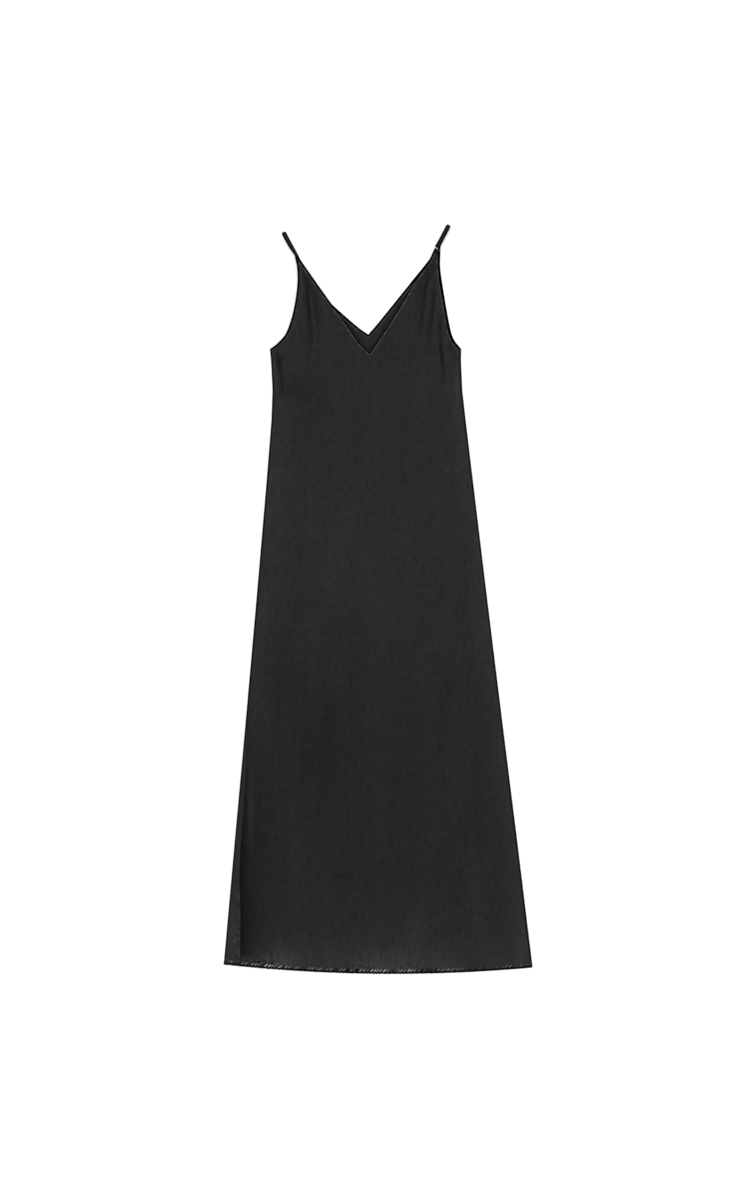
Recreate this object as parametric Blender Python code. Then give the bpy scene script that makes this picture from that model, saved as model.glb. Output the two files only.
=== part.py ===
"""Long slip dress laid flat on its back, front side up.

Black satin slip with a V neck front and back, narrow rolled edges, a flared
skirt with a narrow double-turned hem, and two thin straps that fold over at
the shoulder and are sewn to the front and the back.

Frame: X runs across the dress, Y from hem to straps, Z up from the surface
that it lies on. Every table below is in millimetres: "across" from the middle
of the hem, "up" from the lowest point of the hem. A parent empty then puts the
middle of the whole dress on the origin.
"""

import math
from typing import NamedTuple

import bmesh
import bpy
import numpy as np

MM = 0.001

# Cloth and clearances, in millimetres.
WALL = 1.2
GAP = 0.3
FRONT_BASE = WALL + GAP
EDGE_ROLL_WIDTH = 2.6
EDGE_ROLL_HEIGHT = 1.6
EDGE_ROUNDING = 0.45
EDGE_SHOULDER = 0.35
HEM_WIDTH = 7.0
FRONT_HEM_RISE = 3.0
TURNED_HEM_RISE = 4.5

# Grid of each panel: columns in each half, rows below and above the underarm.
FRONT_COLUMNS = 18
FRONT_SKIRT_ROWS = 28
BACK_COLUMNS = 7
BACK_SKIRT_ROWS = 13
ARM_ROWS = 18
CURVE_STEPS = 12
MERGE_POWER = 3.0
FOLD_END_SHARE = 0.3
SMALLEST_TURN = 3.0
SHARP_ANGLE = 35.0

# The hem is a shallow curve: lowest at HEM_LOW_ACROSS, one height per square of distance.
HEM_LOW_ACROSS = 30.0
HEM_CURVE = 18.6 / 339.2**2
HEM_CENTRE = 0.0

# The straps: the back half on the surface, the front half on the back half.
STRAP_WIDTH = 9.0
STRAP_HEIGHT = 1.1
STRAP_SHOULDER = 0.36
STRAP_BACK_Z = STRAP_HEIGHT / 2
STRAP_FRONT_Z = STRAP_HEIGHT * 1.5 + GAP
STRAP_FOLD_REACH = 1.2
STRAP_FOLD_STEPS = 7
STRAP_FLAT_FROM = 4.0
STRAP_FLAT_KNOTS = 5


class Station(NamedTuple):
    """Both side edges of the dress at one height."""

    up: float
    left: float
    right: float


class Turn(NamedTuple):
    """Width of back cloth turned to the front at the left side, at one height."""

    up: float
    width: float


class Spot(NamedTuple):
    """One point of an edge, seen from above."""

    across: float
    up: float


class Fold(NamedTuple):
    """A soft ridge in the front, from its foot to its top."""

    foot_across: float
    foot_up: float
    top_across: float
    top_up: float
    half_width: float
    height: float


class Knot(NamedTuple):
    """One point of a strap's route: along it, sideways, height and width.

    Slant is how far the section leans along the route for each step sideways.
    """

    along: float
    aside: float
    up: float
    width: float
    slant: float = 0.0


class Taper(NamedTuple):
    """A strap near its ends: distance from the fold, sideways, width."""

    along: float
    aside: float
    width: float


SIDES = (
    Station(13.6, -309.2, 308.8),
    Station(266.6, -286.6, 278.0),
    Station(506.6, -264.6, 248.0),
    Station(746.6, -243.4, 218.4),
    Station(986.6, -222.8, 189.4),
    Station(1106.6, -213.2, 175.0),
    Station(1166.6, -211.0, 168.2),
    Station(1226.6, -214.0, 165.6),
    Station(1249.6, -216.4, 166.0),
)

LEFT_TURN = (
    Turn(0.0, 33.0),
    Turn(48.0, 31.0),
    Turn(118.0, 25.0),
    Turn(188.0, 17.0),
    Turn(238.0, 13.8),
    Turn(330.0, 12.6),
    Turn(400.0, 10.0),
    Turn(470.0, 6.5),
    Turn(530.0, 3.2),
    Turn(560.0, 0.0),
)

FRONT_LEFT_ARMHOLE = (
    Spot(-216.4, 1249.6),
    Spot(-203.8, 1258.6),
    Spot(-188.4, 1274.6),
    Spot(-178.6, 1294.0),
    Spot(-168.4, 1330.0),
    Spot(-161.6, 1376.0),
    Spot(-161.8, 1410.6),
    Spot(-166.6, 1434.6),
)
FRONT_RIGHT_ARMHOLE = (
    Spot(166.0, 1249.6),
    Spot(147.6, 1268.0),
    Spot(139.4, 1297.6),
    Spot(130.6, 1347.6),
    Spot(123.0, 1395.0),
    Spot(122.6, 1444.6),
)
BACK_LEFT_ARMHOLE = (
    Spot(-216.4, 1249.6),
    Spot(-202.0, 1257.6),
    Spot(-184.0, 1277.0),
    Spot(-166.0, 1320.0),
    Spot(-158.6, 1360.0),
    Spot(-158.8, 1396.0),
    Spot(-162.9, 1426.0),
)
BACK_RIGHT_ARMHOLE = (
    Spot(166.0, 1249.6),
    Spot(152.8, 1266.6),
    Spot(146.2, 1282.6),
    Spot(139.4, 1315.0),
    Spot(130.6, 1366.0),
    Spot(124.2, 1412.0),
    Spot(124.6, 1443.6),
)

# Each arm of a neckline runs from the bottom of the V up to its strap.
FRONT_LEFT_NECK = (
    Spot(-16.6, 1241.2),
    Spot(-37.8, 1262.6),
    Spot(-63.0, 1299.0),
    Spot(-96.0, 1343.6),
    Spot(-132.2, 1394.6),
    Spot(-159.8, 1434.6),
)
FRONT_RIGHT_NECK = (
    Spot(-16.6, 1241.2),
    Spot(8.6, 1279.6),
    Spot(42.2, 1331.6),
    Spot(70.4, 1381.0),
    Spot(98.0, 1420.0),
    Spot(113.2, 1451.4),
)
BACK_LEFT_NECK = (
    Spot(-19.6, 1278.6),
    Spot(-42.2, 1294.8),
    Spot(-93.2, 1339.8),
    Spot(-125.0, 1373.0),
    Spot(-141.0, 1396.0),
    Spot(-155.4, 1426.0),
)
BACK_RIGHT_NECK = (
    Spot(-19.6, 1278.6),
    Spot(4.2, 1306.6),
    Spot(62.2, 1378.6),
    Spot(100.8, 1426.6),
    Spot(111.6, 1443.6),
)

# The largest folds of the front: long soft ones down the skirt, short ones in the bodice.
FOLDS = (
    Fold(-252.0, 60.0, -186.0, 900.0, 34.0, 1.8),
    Fold(-168.0, -60.0, -128.0, 760.0, 42.0, 2.4),
    Fold(-84.0, 120.0, -64.0, 1080.0, 38.0, 1.5),
    Fold(18.0, -80.0, -2.0, 640.0, 52.0, 2.2),
    Fold(112.0, 40.0, 62.0, 980.0, 40.0, 1.6),
    Fold(214.0, -60.0, 140.0, 720.0, 40.0, 2.3),
    Fold(268.0, 150.0, 176.0, 1010.0, 26.0, 1.4),
    Fold(-116.0, 1100.0, -146.0, 1410.0, 26.0, 2.2),
    Fold(-184.0, 1080.0, -192.0, 1268.0, 22.0, 1.8),
    Fold(88.0, 1060.0, 110.0, 1430.0, 25.0, 2.0),
    Fold(138.0, 1050.0, 140.0, 1300.0, 22.0, 1.6),
)


class StrapPlan(NamedTuple):
    """Where one strap lies: its fold, what it points to, how it narrows, where its back half ends."""

    fold: Spot
    aim: Spot
    tapers: tuple
    back_end: float


STRAPS = {
    "left": StrapPlan(
        Spot(-187.6, 1483.0),
        Spot(-151.2, 1408.6),
        (
            Taper(27.0, 0.0, 9.0),
            Taper(36.0, 0.3, 8.4),
            Taper(45.0, 0.8, 7.4),
            Taper(53.6, 1.3, 6.2),
        ),
        63.4,
    ),
    "right": StrapPlan(
        Spot(141.4, 1497.2),
        Spot(119.4, 1453.8),
        (
            Taper(36.0, -0.4, 9.0),
            Taper(45.0, -0.6, 9.6),
            Taper(50.1, 0.1, 12.0),
            Taper(50.8, 2.1, 8.7),
            Taper(51.8, 3.7, 6.4),
            Taper(53.3, 4.8, 5.6),
            Taper(54.5, 5.6, 4.5),
        ),
        56.6,
    ),
}


def smoothstep(low, high, value):
    """0 below low, 1 above high, with a soft start and end."""
    share = np.clip((value - low) / (high - low), 0.0, 1.0)
    return share * share * (3.0 - 2.0 * share)


def smooth_curve(spots):
    """Many points of a smooth curve (Catmull-Rom) through the spots."""
    knots = np.array(spots, float)
    ends = np.vstack([2 * knots[0] - knots[1], knots, 2 * knots[-1] - knots[-2]])
    share = np.linspace(0.0, 1.0, CURVE_STEPS, endpoint=False)[:, None]
    runs = []
    for first, start, stop, last in zip(ends, ends[1:], ends[2:], ends[3:]):
        tangent = (stop - first) / 2
        next_tangent = (last - start) / 2
        runs.append(
            (2 * share**3 - 3 * share**2 + 1) * start
            + (share**3 - 2 * share**2 + share) * tangent
            + (3 * share**2 - 2 * share**3) * stop
            + (share**3 - share**2) * next_tangent
        )
    return np.vstack([*runs, knots[-1:]])


def spaced(curve, count):
    """count + 1 points along a curve, the same distance apart."""
    steps = np.linalg.norm(np.diff(curve, axis=0), axis=1)
    length = np.concatenate([[0.0], np.cumsum(steps)])
    wanted = np.linspace(0.0, length[-1], count + 1)
    return np.stack([np.interp(wanted, length, curve[:, axis]) for axis in (0, 1)], axis=1)


def side_across(name, up):
    """The side edge, left or right, at a height."""
    heights = [station.up for station in SIDES]
    edges = [getattr(station, name) for station in SIDES]
    return np.interp(up, heights, edges)


def turn_width(up):
    """How far the back is turned over the left side at a height."""
    return np.interp(up, [turn.up for turn in LEFT_TURN], [turn.width for turn in LEFT_TURN])


def hem_up(across):
    """Height of the back hem's lower edge."""
    return HEM_CURVE * (across - HEM_LOW_ACROSS) ** 2


def merged(height, other):
    """The higher of two heights, with a soft turn where they cross."""
    return (height**MERGE_POWER + other**MERGE_POWER) ** (1.0 / MERGE_POWER)


def front_lift(across, up):
    """How far the folds of the front stand off the back."""
    lift = np.zeros(np.broadcast(across, up).shape)
    for fold in FOLDS:
        run_across = fold.top_across - fold.foot_across
        run_up = fold.top_up - fold.foot_up
        length = math.hypot(run_across, run_up)
        along = ((across - fold.foot_across) * run_across + (up - fold.foot_up) * run_up) / length**2
        aside = ((across - fold.foot_across) * run_up - (up - fold.foot_up) * run_across) / length
        ends = smoothstep(0.0, FOLD_END_SHARE, along) * smoothstep(0.0, FOLD_END_SHARE, 1.0 - along)
        ridge = 1.0 - smoothstep(0.0, fold.half_width, np.abs(aside))
        lift = merged(lift, fold.height * ends * ridge)
    return lift


def front_underside(across, up):
    """Height of the front panel's underside."""
    return FRONT_BASE + front_lift(across, up)


def back_underside(across, up):
    """The back lies flat on the surface."""
    return np.zeros(np.broadcast(across, up).shape)


def moved_in(line, distance):
    """The line moved to its right by a distance, with mitred corners."""
    run = np.diff(line, axis=0)
    normal = np.stack([run[:, 1], -run[:, 0]], axis=1)
    normal /= np.linalg.norm(normal, axis=1)[:, None]
    before = np.vstack([normal[:1], normal])
    after = np.vstack([normal, normal[-1:]])
    middle = before + after
    middle /= (1.0 + (before * after).sum(axis=1))[:, None]
    return line + middle * distance


class Panel:
    """One panel of the dress: its edge lines and its grid of points."""

    def __init__(self, armholes, necks, columns, skirt_rows, hem_rise, turned):
        self.columns = columns
        self.skirt_rows = skirt_rows
        self.hem_rise = hem_rise
        self.turned = turned
        left_arm = spaced(smooth_curve(necks["left"]), ARM_ROWS)
        right_arm = spaced(smooth_curve(necks["right"]), ARM_ROWS)
        self.neckline = np.vstack([left_arm[::-1], right_arm[1:]])
        self.armholes = {name: spaced(smooth_curve(spots), ARM_ROWS) for name, spots in armholes.items()}

    def neck_edge(self, distance):
        """The neckline moved into the cloth, split at the bottom of the V into two arms."""
        line = moved_in(self.neckline, distance)
        return {"left": line[ARM_ROWS::-1], "right": line[ARM_ROWS:]}

    def armhole_edge(self, name, distance):
        """The armhole moved into the cloth, from the underarm up to the strap."""
        into_cloth = distance if name == "left" else -distance
        return moved_in(self.armholes[name], into_cloth)

    def side_edge(self, name, rows):
        """The side edge from the hem up to the underarm."""
        start, after = self.armhole_edge(name, EDGE_ROLL_WIDTH + GAP)[:2]
        overshoot = (start[0] - side_across(name, start[1])) / (after[0] - start[0])
        underarm = start[1] - overshoot * (after[1] - start[1])
        across = side_across(name, 0.0)
        lowest = hem_up(across) + self.hem_rise + HEM_WIDTH + GAP
        up = np.linspace(lowest, underarm, rows + 1)
        edge = side_across(name, up)
        if name == "left" and self.turned:
            edge = edge + turn_width(up) + GAP * (turn_width(up) > 0)
        return np.stack([edge, up], axis=1)

    def half_grid(self, name):
        """Points of one half: rows from hem to strap, columns from the side to the middle."""
        rows = self.skirt_rows
        share = np.linspace(0.0, 1.0, self.columns + 1)[None, :, None]
        neck = self.neck_edge(EDGE_ROLL_WIDTH + GAP)[name]
        outer = self.side_edge(name, rows)
        hem_point = np.array([HEM_CENTRE, hem_up(HEM_CENTRE) + self.hem_rise + HEM_WIDTH + GAP])
        step = np.linspace(0.0, 1.0, rows + 1)[:, None]
        inner = hem_point * (1 - step) + neck[0] * step
        skirt = outer[:, None] * (1 - share) + inner[:, None] * share
        chord = skirt[0, :, 1]
        dip = hem_up(skirt[0, :, 0]) + self.hem_rise + HEM_WIDTH + GAP - chord
        skirt[:, :, 1] += dip[None, :] * (1 - step) ** 2
        armhole = self.armhole_edge(name, EDGE_ROLL_WIDTH + GAP)
        arm = armhole[1:, None] * (1 - share) + neck[1:, None] * share
        return np.concatenate([skirt, arm])

    def grids(self):
        return self.half_grid("left"), self.half_grid("right")


def add_material(name, colour, roughness):
    """A Principled material of one colour."""
    material = bpy.data.materials.new(name)
    material.use_nodes = True
    shader = material.node_tree.nodes["Principled BSDF"]
    shader.inputs["Base Color"].default_value = (*colour, 1.0)
    shader.inputs["Roughness"].default_value = roughness
    return material


def add_object(name, points, faces, material, parent):
    """A mesh object from points in millimetres."""
    mesh = bpy.data.meshes.new(name)
    mesh.from_pydata((np.array(points) * MM).tolist(), [], [tuple(map(int, face)) for face in faces])
    body = bmesh.new()
    body.from_mesh(mesh)
    bmesh.ops.recalc_face_normals(body, faces=body.faces)
    body.to_mesh(mesh)
    body.free()
    mesh.shade_smooth()
    mesh.set_sharp_from_angle(angle=math.radians(SHARP_ANGLE))
    mesh.materials.append(material)
    item = bpy.data.objects.new(name, mesh)
    item.parent = parent
    bpy.context.scene.collection.objects.link(item)
    return item


def panel_object(name, panel, underside, material, parent):
    """The two half grids joined down the middle and given the wall's thickness."""
    left, right = panel.grids()
    rows, columns = left.shape[:2]
    shared = panel.skirt_rows + 1
    number_left = np.arange(rows * columns).reshape(rows, columns)
    number_right = number_left + rows * columns
    number_right[:shared, -1] = number_left[:shared, -1]
    flat = np.concatenate([left.reshape(-1, 2), right.reshape(-1, 2)])
    low = underside(flat[:, 0], flat[:, 1])
    count = len(flat)
    points = np.vstack([np.column_stack([flat, low]), np.column_stack([flat, low + WALL])])
    top = []
    for number, turned in ((number_left, False), (number_right, True)):
        quads = np.stack([number[:-1, :-1], number[:-1, 1:], number[1:, 1:], number[1:, :-1]], axis=-1)
        quads = quads.reshape(-1, 4)
        top.append(quads[:, ::-1] if turned else quads)
    top = np.vstack(top)
    faces = [*(top + count), *top[:, ::-1]]
    faces += rim_faces(top, count)
    kept, faces = without_spare_points(points, faces)
    return add_object(name, kept, faces, material, parent)


def rim_faces(quads, count):
    """Walls between the lower and the upper sheet, along every open edge of the quads."""
    edges = {}
    for quad in quads:
        for start, stop in zip(quad, np.roll(quad, -1)):
            edges[(int(start), int(stop))] = None
    return [
        (start, stop, stop + count, start + count)
        for start, stop in edges
        if (stop, start) not in edges
    ]


def without_spare_points(points, faces):
    """Leaves out the points that no face uses."""
    used = sorted({int(corner) for face in faces for corner in face})
    place = {old: new for new, old in enumerate(used)}
    return points[used], [[place[int(corner)] for corner in face] for face in faces]


def section_faces(rings):
    """Sides and ends of a body whose sections all have the same number of points."""
    count, around = rings
    faces = []
    for row in range(count - 1):
        for spoke in range(around):
            near = row * around + spoke
            near_next = row * around + (spoke + 1) % around
            faces.append((near, near_next, near_next + around, near + around))
    faces.append(tuple(range(around))[::-1])
    faces.append(tuple(range((count - 1) * around, count * around)))
    return faces


def rolled_section(width, height, flat_on_surface):
    """Section of a rolled edge: (distance into the cloth, height), anticlockwise from the outer edge."""
    shoulder = 0.0 if flat_on_surface else EDGE_SHOULDER
    return np.array([
        (0.0, height - EDGE_ROUNDING),
        (0.0, EDGE_ROUNDING),
        (EDGE_ROUNDING, 0.0),
        (width, 0.0),
        (width, height - shoulder),
        (width - EDGE_SHOULDER - shoulder, height),
        (EDGE_ROUNDING, height),
    ])


def strip_object(name, line, into_cloth, section, underside, material, parent):
    """A strip along an edge line: the section stands on the underside at each point."""
    rings = []
    for distance, height in section:
        moved = moved_in(line, distance * into_cloth)
        rings.append(np.column_stack([moved, underside(moved[:, 0], moved[:, 1]) + height]))
    points = np.stack(rings, axis=1)
    faces = section_faces(points.shape[:2])
    return add_object(name, points.reshape(-1, 3), faces, material, parent)


def hem_line(panel):
    """The hem's lower edge, right to left, so that the cloth is on its right."""
    left, right = panel.grids()
    across = np.concatenate([left[0, :, 0], right[0, -2::-1, 0]])[::-1]
    return np.column_stack([across, hem_up(across) + panel.hem_rise])


def turn_object(name, panel, material, parent):
    """The strip of back cloth that is turned over the left side on to the front."""
    up = panel.side_edge("left", panel.skirt_rows)[:, 1]
    lowest = hem_up(side_across("left", 0.0)) + TURNED_HEM_RISE
    up = np.concatenate([[lowest], up[turn_width(up) > SMALLEST_TURN]])
    outline = np.column_stack([side_across("left", up), up])
    seam = outline + np.column_stack([turn_width(up), np.zeros(len(up))])
    middle = (outline + seam) / 2
    upper = ((outline, WALL), (middle, WALL), (seam, WALL))
    lower = ((seam, 0.0), (middle, 0.0), (outline, 0.0))
    rings = []
    for line, rise in (*upper, *lower):
        base = front_underside(line[:, 0], line[:, 1])
        rings.append(np.column_stack([line, base + rise]))
    points = np.stack(rings, axis=1)
    faces = section_faces(points.shape[:2])
    return add_object(name, points.reshape(-1, 3), faces, material, parent)


def ribbon_points(knots, origin, direction):
    """Sections of a strap whose route bends in the upright plane along direction."""
    place = np.array([[knot.along, knot.up] for knot in knots])
    tangent = np.gradient(place, axis=0)
    tangent /= np.linalg.norm(tangent, axis=1)[:, None]
    sideways = np.array([-direction[1], direction[0]])
    half = STRAP_HEIGHT / 2
    flat = STRAP_SHOULDER
    section = ((-0.5, 0.0), (-flat, -half), (flat, -half), (0.5, 0.0), (flat, half), (-flat, half))
    rings = []
    for knot, (along_step, up_step) in zip(knots, tangent):
        ring = []
        for aside, rise in section:
            along = knot.along - up_step * rise + knot.slant * aside * knot.width
            spot = origin + direction * along + sideways * (knot.aside + aside * knot.width)
            ring.append((*spot, knot.up + along_step * rise))
        rings.append(ring)
    return np.array(rings)


def unit(start, stop):
    step = np.array(stop, float) - np.array(start, float)
    return step / np.linalg.norm(step)


def strap_half(tapers, height, level_cut):
    """Knots of one half of a strap, from near the fold to its end, which is cut level."""
    plain = np.linspace(STRAP_FLAT_FROM, tapers[0].along, STRAP_FLAT_KNOTS)[:-1]
    knots = [Knot(along, 0.0, height, STRAP_WIDTH) for along in plain]
    knots += [Knot(taper.along, taper.aside, height, taper.width) for taper in tapers]
    return [*knots[:-1], knots[-1]._replace(slant=level_cut)]


def strap_fold():
    """Knots round the fold, from the front half to the back half."""
    middle = (STRAP_FRONT_Z + STRAP_BACK_Z) / 2
    radius = (STRAP_FRONT_Z - STRAP_BACK_Z) / 2
    knots = []
    for angle in np.linspace(math.pi / 2, math.pi * 3 / 2, STRAP_FOLD_STEPS):
        along = STRAP_FOLD_REACH * (1.0 + math.cos(angle))
        knots.append(Knot(along, 0.0, middle + radius * math.sin(angle), STRAP_WIDTH))
    return knots


def strap_object(name, plan, material, parent):
    """One strap: from the front panel up, over the fold and down to the back panel."""
    direction = unit(plan.fold, plan.aim)
    level_cut = direction[0] / -direction[1]
    back_tapers = (*plan.tapers, plan.tapers[-1]._replace(along=plan.back_end))
    front = strap_half(plan.tapers, STRAP_FRONT_Z, level_cut)
    back = strap_half(back_tapers, STRAP_BACK_Z, level_cut)
    knots = [*front[::-1], *strap_fold(), *back]
    points = ribbon_points(knots, np.array(plan.fold), direction)
    faces = section_faces(points.shape[:2])
    return add_object(f"strap_{name}", points.reshape(-1, 3), faces, material, parent)


def clear_scene():
    for item in list(bpy.data.objects):
        bpy.data.objects.remove(item)


def middle_of(items):
    """Middle of all pieces in X and Y, in metres."""
    corners = np.array([vertex.co for item in items for vertex in item.data.vertices])
    return (corners.min(axis=0) + corners.max(axis=0)) / 2


def build_panel_edges(label, panel, underside, material, parent):
    """The rolled neck edge, the two rolled armhole edges and the hem of one panel."""
    on_surface = underside is back_underside
    height = WALL if on_surface else EDGE_ROLL_HEIGHT
    roll = rolled_section(EDGE_ROLL_WIDTH, height, on_surface)
    hem = rolled_section(HEM_WIDTH, height, on_surface)
    items = [strip_object(f"{label}_neck_edge", panel.neckline, 1.0, roll, underside, material, parent)]
    for name, line in panel.armholes.items():
        into_cloth = 1.0 if name == "left" else -1.0
        edge_name = f"{label}_armhole_edge_{name}"
        items.append(strip_object(edge_name, line, into_cloth, roll, underside, material, parent))
    items.append(strip_object(f"{label}_hem", hem_line(panel), 1.0, hem, underside, material, parent))
    return items


def main():
    clear_scene()
    dress = bpy.data.objects.new("dress", None)
    bpy.context.scene.collection.objects.link(dress)
    satin = add_material("satin", (0.022, 0.022, 0.023), 0.48)
    turned = add_material("turned_satin", (0.028, 0.028, 0.029), 0.5)
    edge = add_material("edge_satin", (0.025, 0.025, 0.026), 0.5)
    strap = add_material("strap_satin", (0.024, 0.024, 0.025), 0.45)

    front = Panel(
        {"left": FRONT_LEFT_ARMHOLE, "right": FRONT_RIGHT_ARMHOLE},
        {"left": FRONT_LEFT_NECK, "right": FRONT_RIGHT_NECK},
        FRONT_COLUMNS, FRONT_SKIRT_ROWS, FRONT_HEM_RISE, True,
    )
    back = Panel(
        {"left": BACK_LEFT_ARMHOLE, "right": BACK_RIGHT_ARMHOLE},
        {"left": BACK_LEFT_NECK, "right": BACK_RIGHT_NECK},
        BACK_COLUMNS, BACK_SKIRT_ROWS, 0.0, False,
    )
    items = [
        panel_object("back_panel", back, back_underside, satin, dress),
        panel_object("front_panel", front, front_underside, satin, dress),
        turn_object("back_side_turn", front, turned, dress),
    ]
    items += build_panel_edges("back", back, back_underside, edge, dress)
    items += build_panel_edges("front", front, front_underside, edge, dress)
    for name, plan in STRAPS.items():
        items.append(strap_object(name, plan, strap, dress))

    middle = middle_of(items)
    dress.location = (-middle[0], -middle[1], 0.0)


main()
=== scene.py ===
"""Long black satin slip dress laid flat on its back: the cloth, edges, straps and sewing that show.

Plan sizes are in millimetres: "across" from the middle of the hem, "up" from the lowest point of
the hem, and heights from the surface that the dress lies on. A mesh turns into metres, with the
middle of the dress on the origin, when it is made.
"""

import logging
import math
from dataclasses import dataclass
from enum import Enum
from typing import Any, Callable, NamedTuple, Sequence

import bpy
import numpy as np
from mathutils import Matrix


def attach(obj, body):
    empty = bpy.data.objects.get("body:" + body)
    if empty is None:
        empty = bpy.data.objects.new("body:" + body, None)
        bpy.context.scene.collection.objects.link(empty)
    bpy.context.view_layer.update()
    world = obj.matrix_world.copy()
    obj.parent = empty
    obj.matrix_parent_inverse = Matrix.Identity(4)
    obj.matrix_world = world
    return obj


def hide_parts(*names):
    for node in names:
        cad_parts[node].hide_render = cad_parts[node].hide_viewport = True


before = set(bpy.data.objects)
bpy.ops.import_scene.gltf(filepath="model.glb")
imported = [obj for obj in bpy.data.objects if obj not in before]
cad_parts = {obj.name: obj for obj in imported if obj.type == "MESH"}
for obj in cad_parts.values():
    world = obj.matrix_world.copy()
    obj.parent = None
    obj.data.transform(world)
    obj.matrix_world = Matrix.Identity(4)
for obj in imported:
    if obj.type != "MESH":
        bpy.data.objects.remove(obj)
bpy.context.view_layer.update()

LOG = logging.getLogger("slip_dress")
Array = np.ndarray
Range = tuple[float, float]

MM = 0.001
MIDDLE = (-0.1571, 749.6332)
TAU = 2.0 * math.pi
SHARP_ANGLE = math.radians(62.0)


# ---------------------------------------------------------------------------
# Options, and the rows of the tables
# ---------------------------------------------------------------------------


class Slot(Enum):
    """The finishes of the dress's pieces."""

    SATIN = "satin"
    TURNED = "turned_satin"
    EDGE = "edge_satin"
    STRAP = "strap_satin"


class Side(Enum):
    """Left and right as seen from above, with the sign that leads into the cloth."""

    LEFT = ("left", 1.0)
    RIGHT = ("right", -1.0)

    @property
    def label(self) -> str:
        """The word used in node names."""
        return self.value[0]

    @property
    def into_cloth(self) -> float:
        """Sign of a distance measured into the cloth from an armhole line."""
        return self.value[1]


class Contrast(Enum):
    """Painted shade and highlight: how much lighter the satin is for each millimetre that a crease
    rises.
    """

    WIDE = 0.05
    RIDGE = 0.08
    TROUGH = 0.42


class Fade(NamedTuple):
    """A stretch over which something comes in or goes out, with a soft start and end."""

    low: float
    high: float

    def rise(self, value: Array | float) -> Array:
        """0 below the stretch and 1 above it."""
        share = np.clip((value - self.low) / (self.high - self.low), 0.0, 1.0)
        return share * share * (3.0 - 2.0 * share)

    def fall(self, value: Array | float) -> Array:
        """1 below the stretch and 0 above it."""
        return 1.0 - self.rise(value)


class Peak(NamedTuple):
    """An amount that is felt in full at its middle and dies away over its reach."""

    middle: float
    reach: float
    amount: float = 1.0

    def at(self, value: Array | float) -> Array:
        """How much of it is felt at a value."""
        return self.amount * np.exp(-(((value - self.middle) / self.reach) ** 2))


class Wave(NamedTuple):
    """A slow wave along a crease, which differs from one crease to the next."""

    size: float
    turns: float
    more_turns: float
    shift: float

    def at(self, share: Array, order: int) -> Array:
        """The wave at a share of the length of the crease with this place in its table."""
        turns = self.turns + self.more_turns * (order % 3)
        return self.size * np.sin(TAU * turns * share + self.shift * order)


class Station(NamedTuple):
    """Both side edges of the dress at one height."""

    up: float
    left: float
    right: float


class Turn(NamedTuple):
    """Width of back cloth that shows at the left side, at one height."""

    up: float
    width: float


class Spot(NamedTuple):
    """One point of an edge, seen from above."""

    across: float
    up: float


class Crease(NamedTuple):
    """A soft ridge, or a trough where height is below zero, from its foot to its top.

    Bow is how far its middle swings to the right, lean makes its right slope steeper.
    """

    foot_across: float
    foot_up: float
    top_across: float
    top_up: float
    half_width: float
    height: float
    bow: float
    lean: float

    @property
    def contrast(self) -> Contrast:
        """How its rise shows as painted shade in a trough and a painted highlight on a ridge."""
        narrow = Contrast.TROUGH if self.height < 0.0 else Contrast.RIDGE
        return narrow if self.half_width < NARROW_CREASE else Contrast.WIDE


class PaintedLight(NamedTuple):
    """A soft patch of painted light, or of painted shade where its amount is below zero."""

    across: float
    up: float
    half_across: float
    half_up: float
    amount: float

    def at(self, across: Array, up: Array) -> Array:
        """What it adds to the tone at each point."""
        aside, above = (across - self.across) / self.half_across, (up - self.up) / self.half_up
        return self.amount * np.exp(-(aside**2 + above**2))


class Taper(NamedTuple):
    """A strap near its end: distance from its fold, sideways, width."""

    along: float
    aside: float
    width: float


class StrapPlan(NamedTuple):
    """A strap from above: its fold, a point it aims at, its front end and its back end."""

    fold: Spot
    aim: Spot
    tapers: tuple[Taper, ...]
    back_end: float


def table(kind: Callable[..., Any], *rows: Sequence[float]) -> tuple[Any, ...]:
    """A table whose rows are all of one kind."""
    return tuple(kind(*row) for row in rows)


# ---------------------------------------------------------------------------
# Outline of the dress
# ---------------------------------------------------------------------------

SIDES = table(
    Station,
    (13.6, -309.2, 308.8), (266.6, -286.6, 278.0), (506.6, -264.6, 248.0),
    (746.6, -243.4, 218.4), (986.6, -222.8, 189.4), (1106.6, -213.2, 175.0),
    (1166.6, -211.0, 168.2), (1226.6, -214.0, 165.6), (1249.6, -216.4, 166.0),
)
UNDERARM = SIDES[-1]
SIDE_TURN = table(
    Turn,
    (0.0, 33.0), (48.0, 31.0), (118.0, 25.0), (188.0, 17.0), (238.0, 13.8),
    (330.0, 12.6), (400.0, 10.0), (470.0, 6.5), (530.0, 3.2), (560.0, 0.0),
)
FRONT_ARMHOLES = {
    Side.LEFT: table(
        Spot,
        (UNDERARM.left, UNDERARM.up), (-203.8, 1258.6), (-188.4, 1274.6), (-178.6, 1294.0),
        (-168.4, 1330.0), (-161.6, 1376.0), (-161.8, 1410.6), (-166.6, 1434.6),
    ),
    Side.RIGHT: table(
        Spot,
        (UNDERARM.right, UNDERARM.up), (147.6, 1268.0), (139.4, 1297.6), (130.6, 1347.6),
        (123.0, 1395.0), (122.6, 1444.6),
    ),
}
BACK_ARMHOLES = {
    Side.LEFT: table(
        Spot,
        (UNDERARM.left, UNDERARM.up), (-202.0, 1257.6), (-184.0, 1277.0), (-166.0, 1320.0),
        (-158.6, 1360.0), (-158.8, 1396.0), (-162.9, 1426.0),
    ),
    Side.RIGHT: table(
        Spot,
        (UNDERARM.right, UNDERARM.up), (152.8, 1266.6), (146.2, 1282.6), (139.4, 1315.0),
        (130.6, 1366.0), (124.2, 1412.0), (124.6, 1443.6),
    ),
}
FRONT_V = (-16.6, 1241.2)
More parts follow.
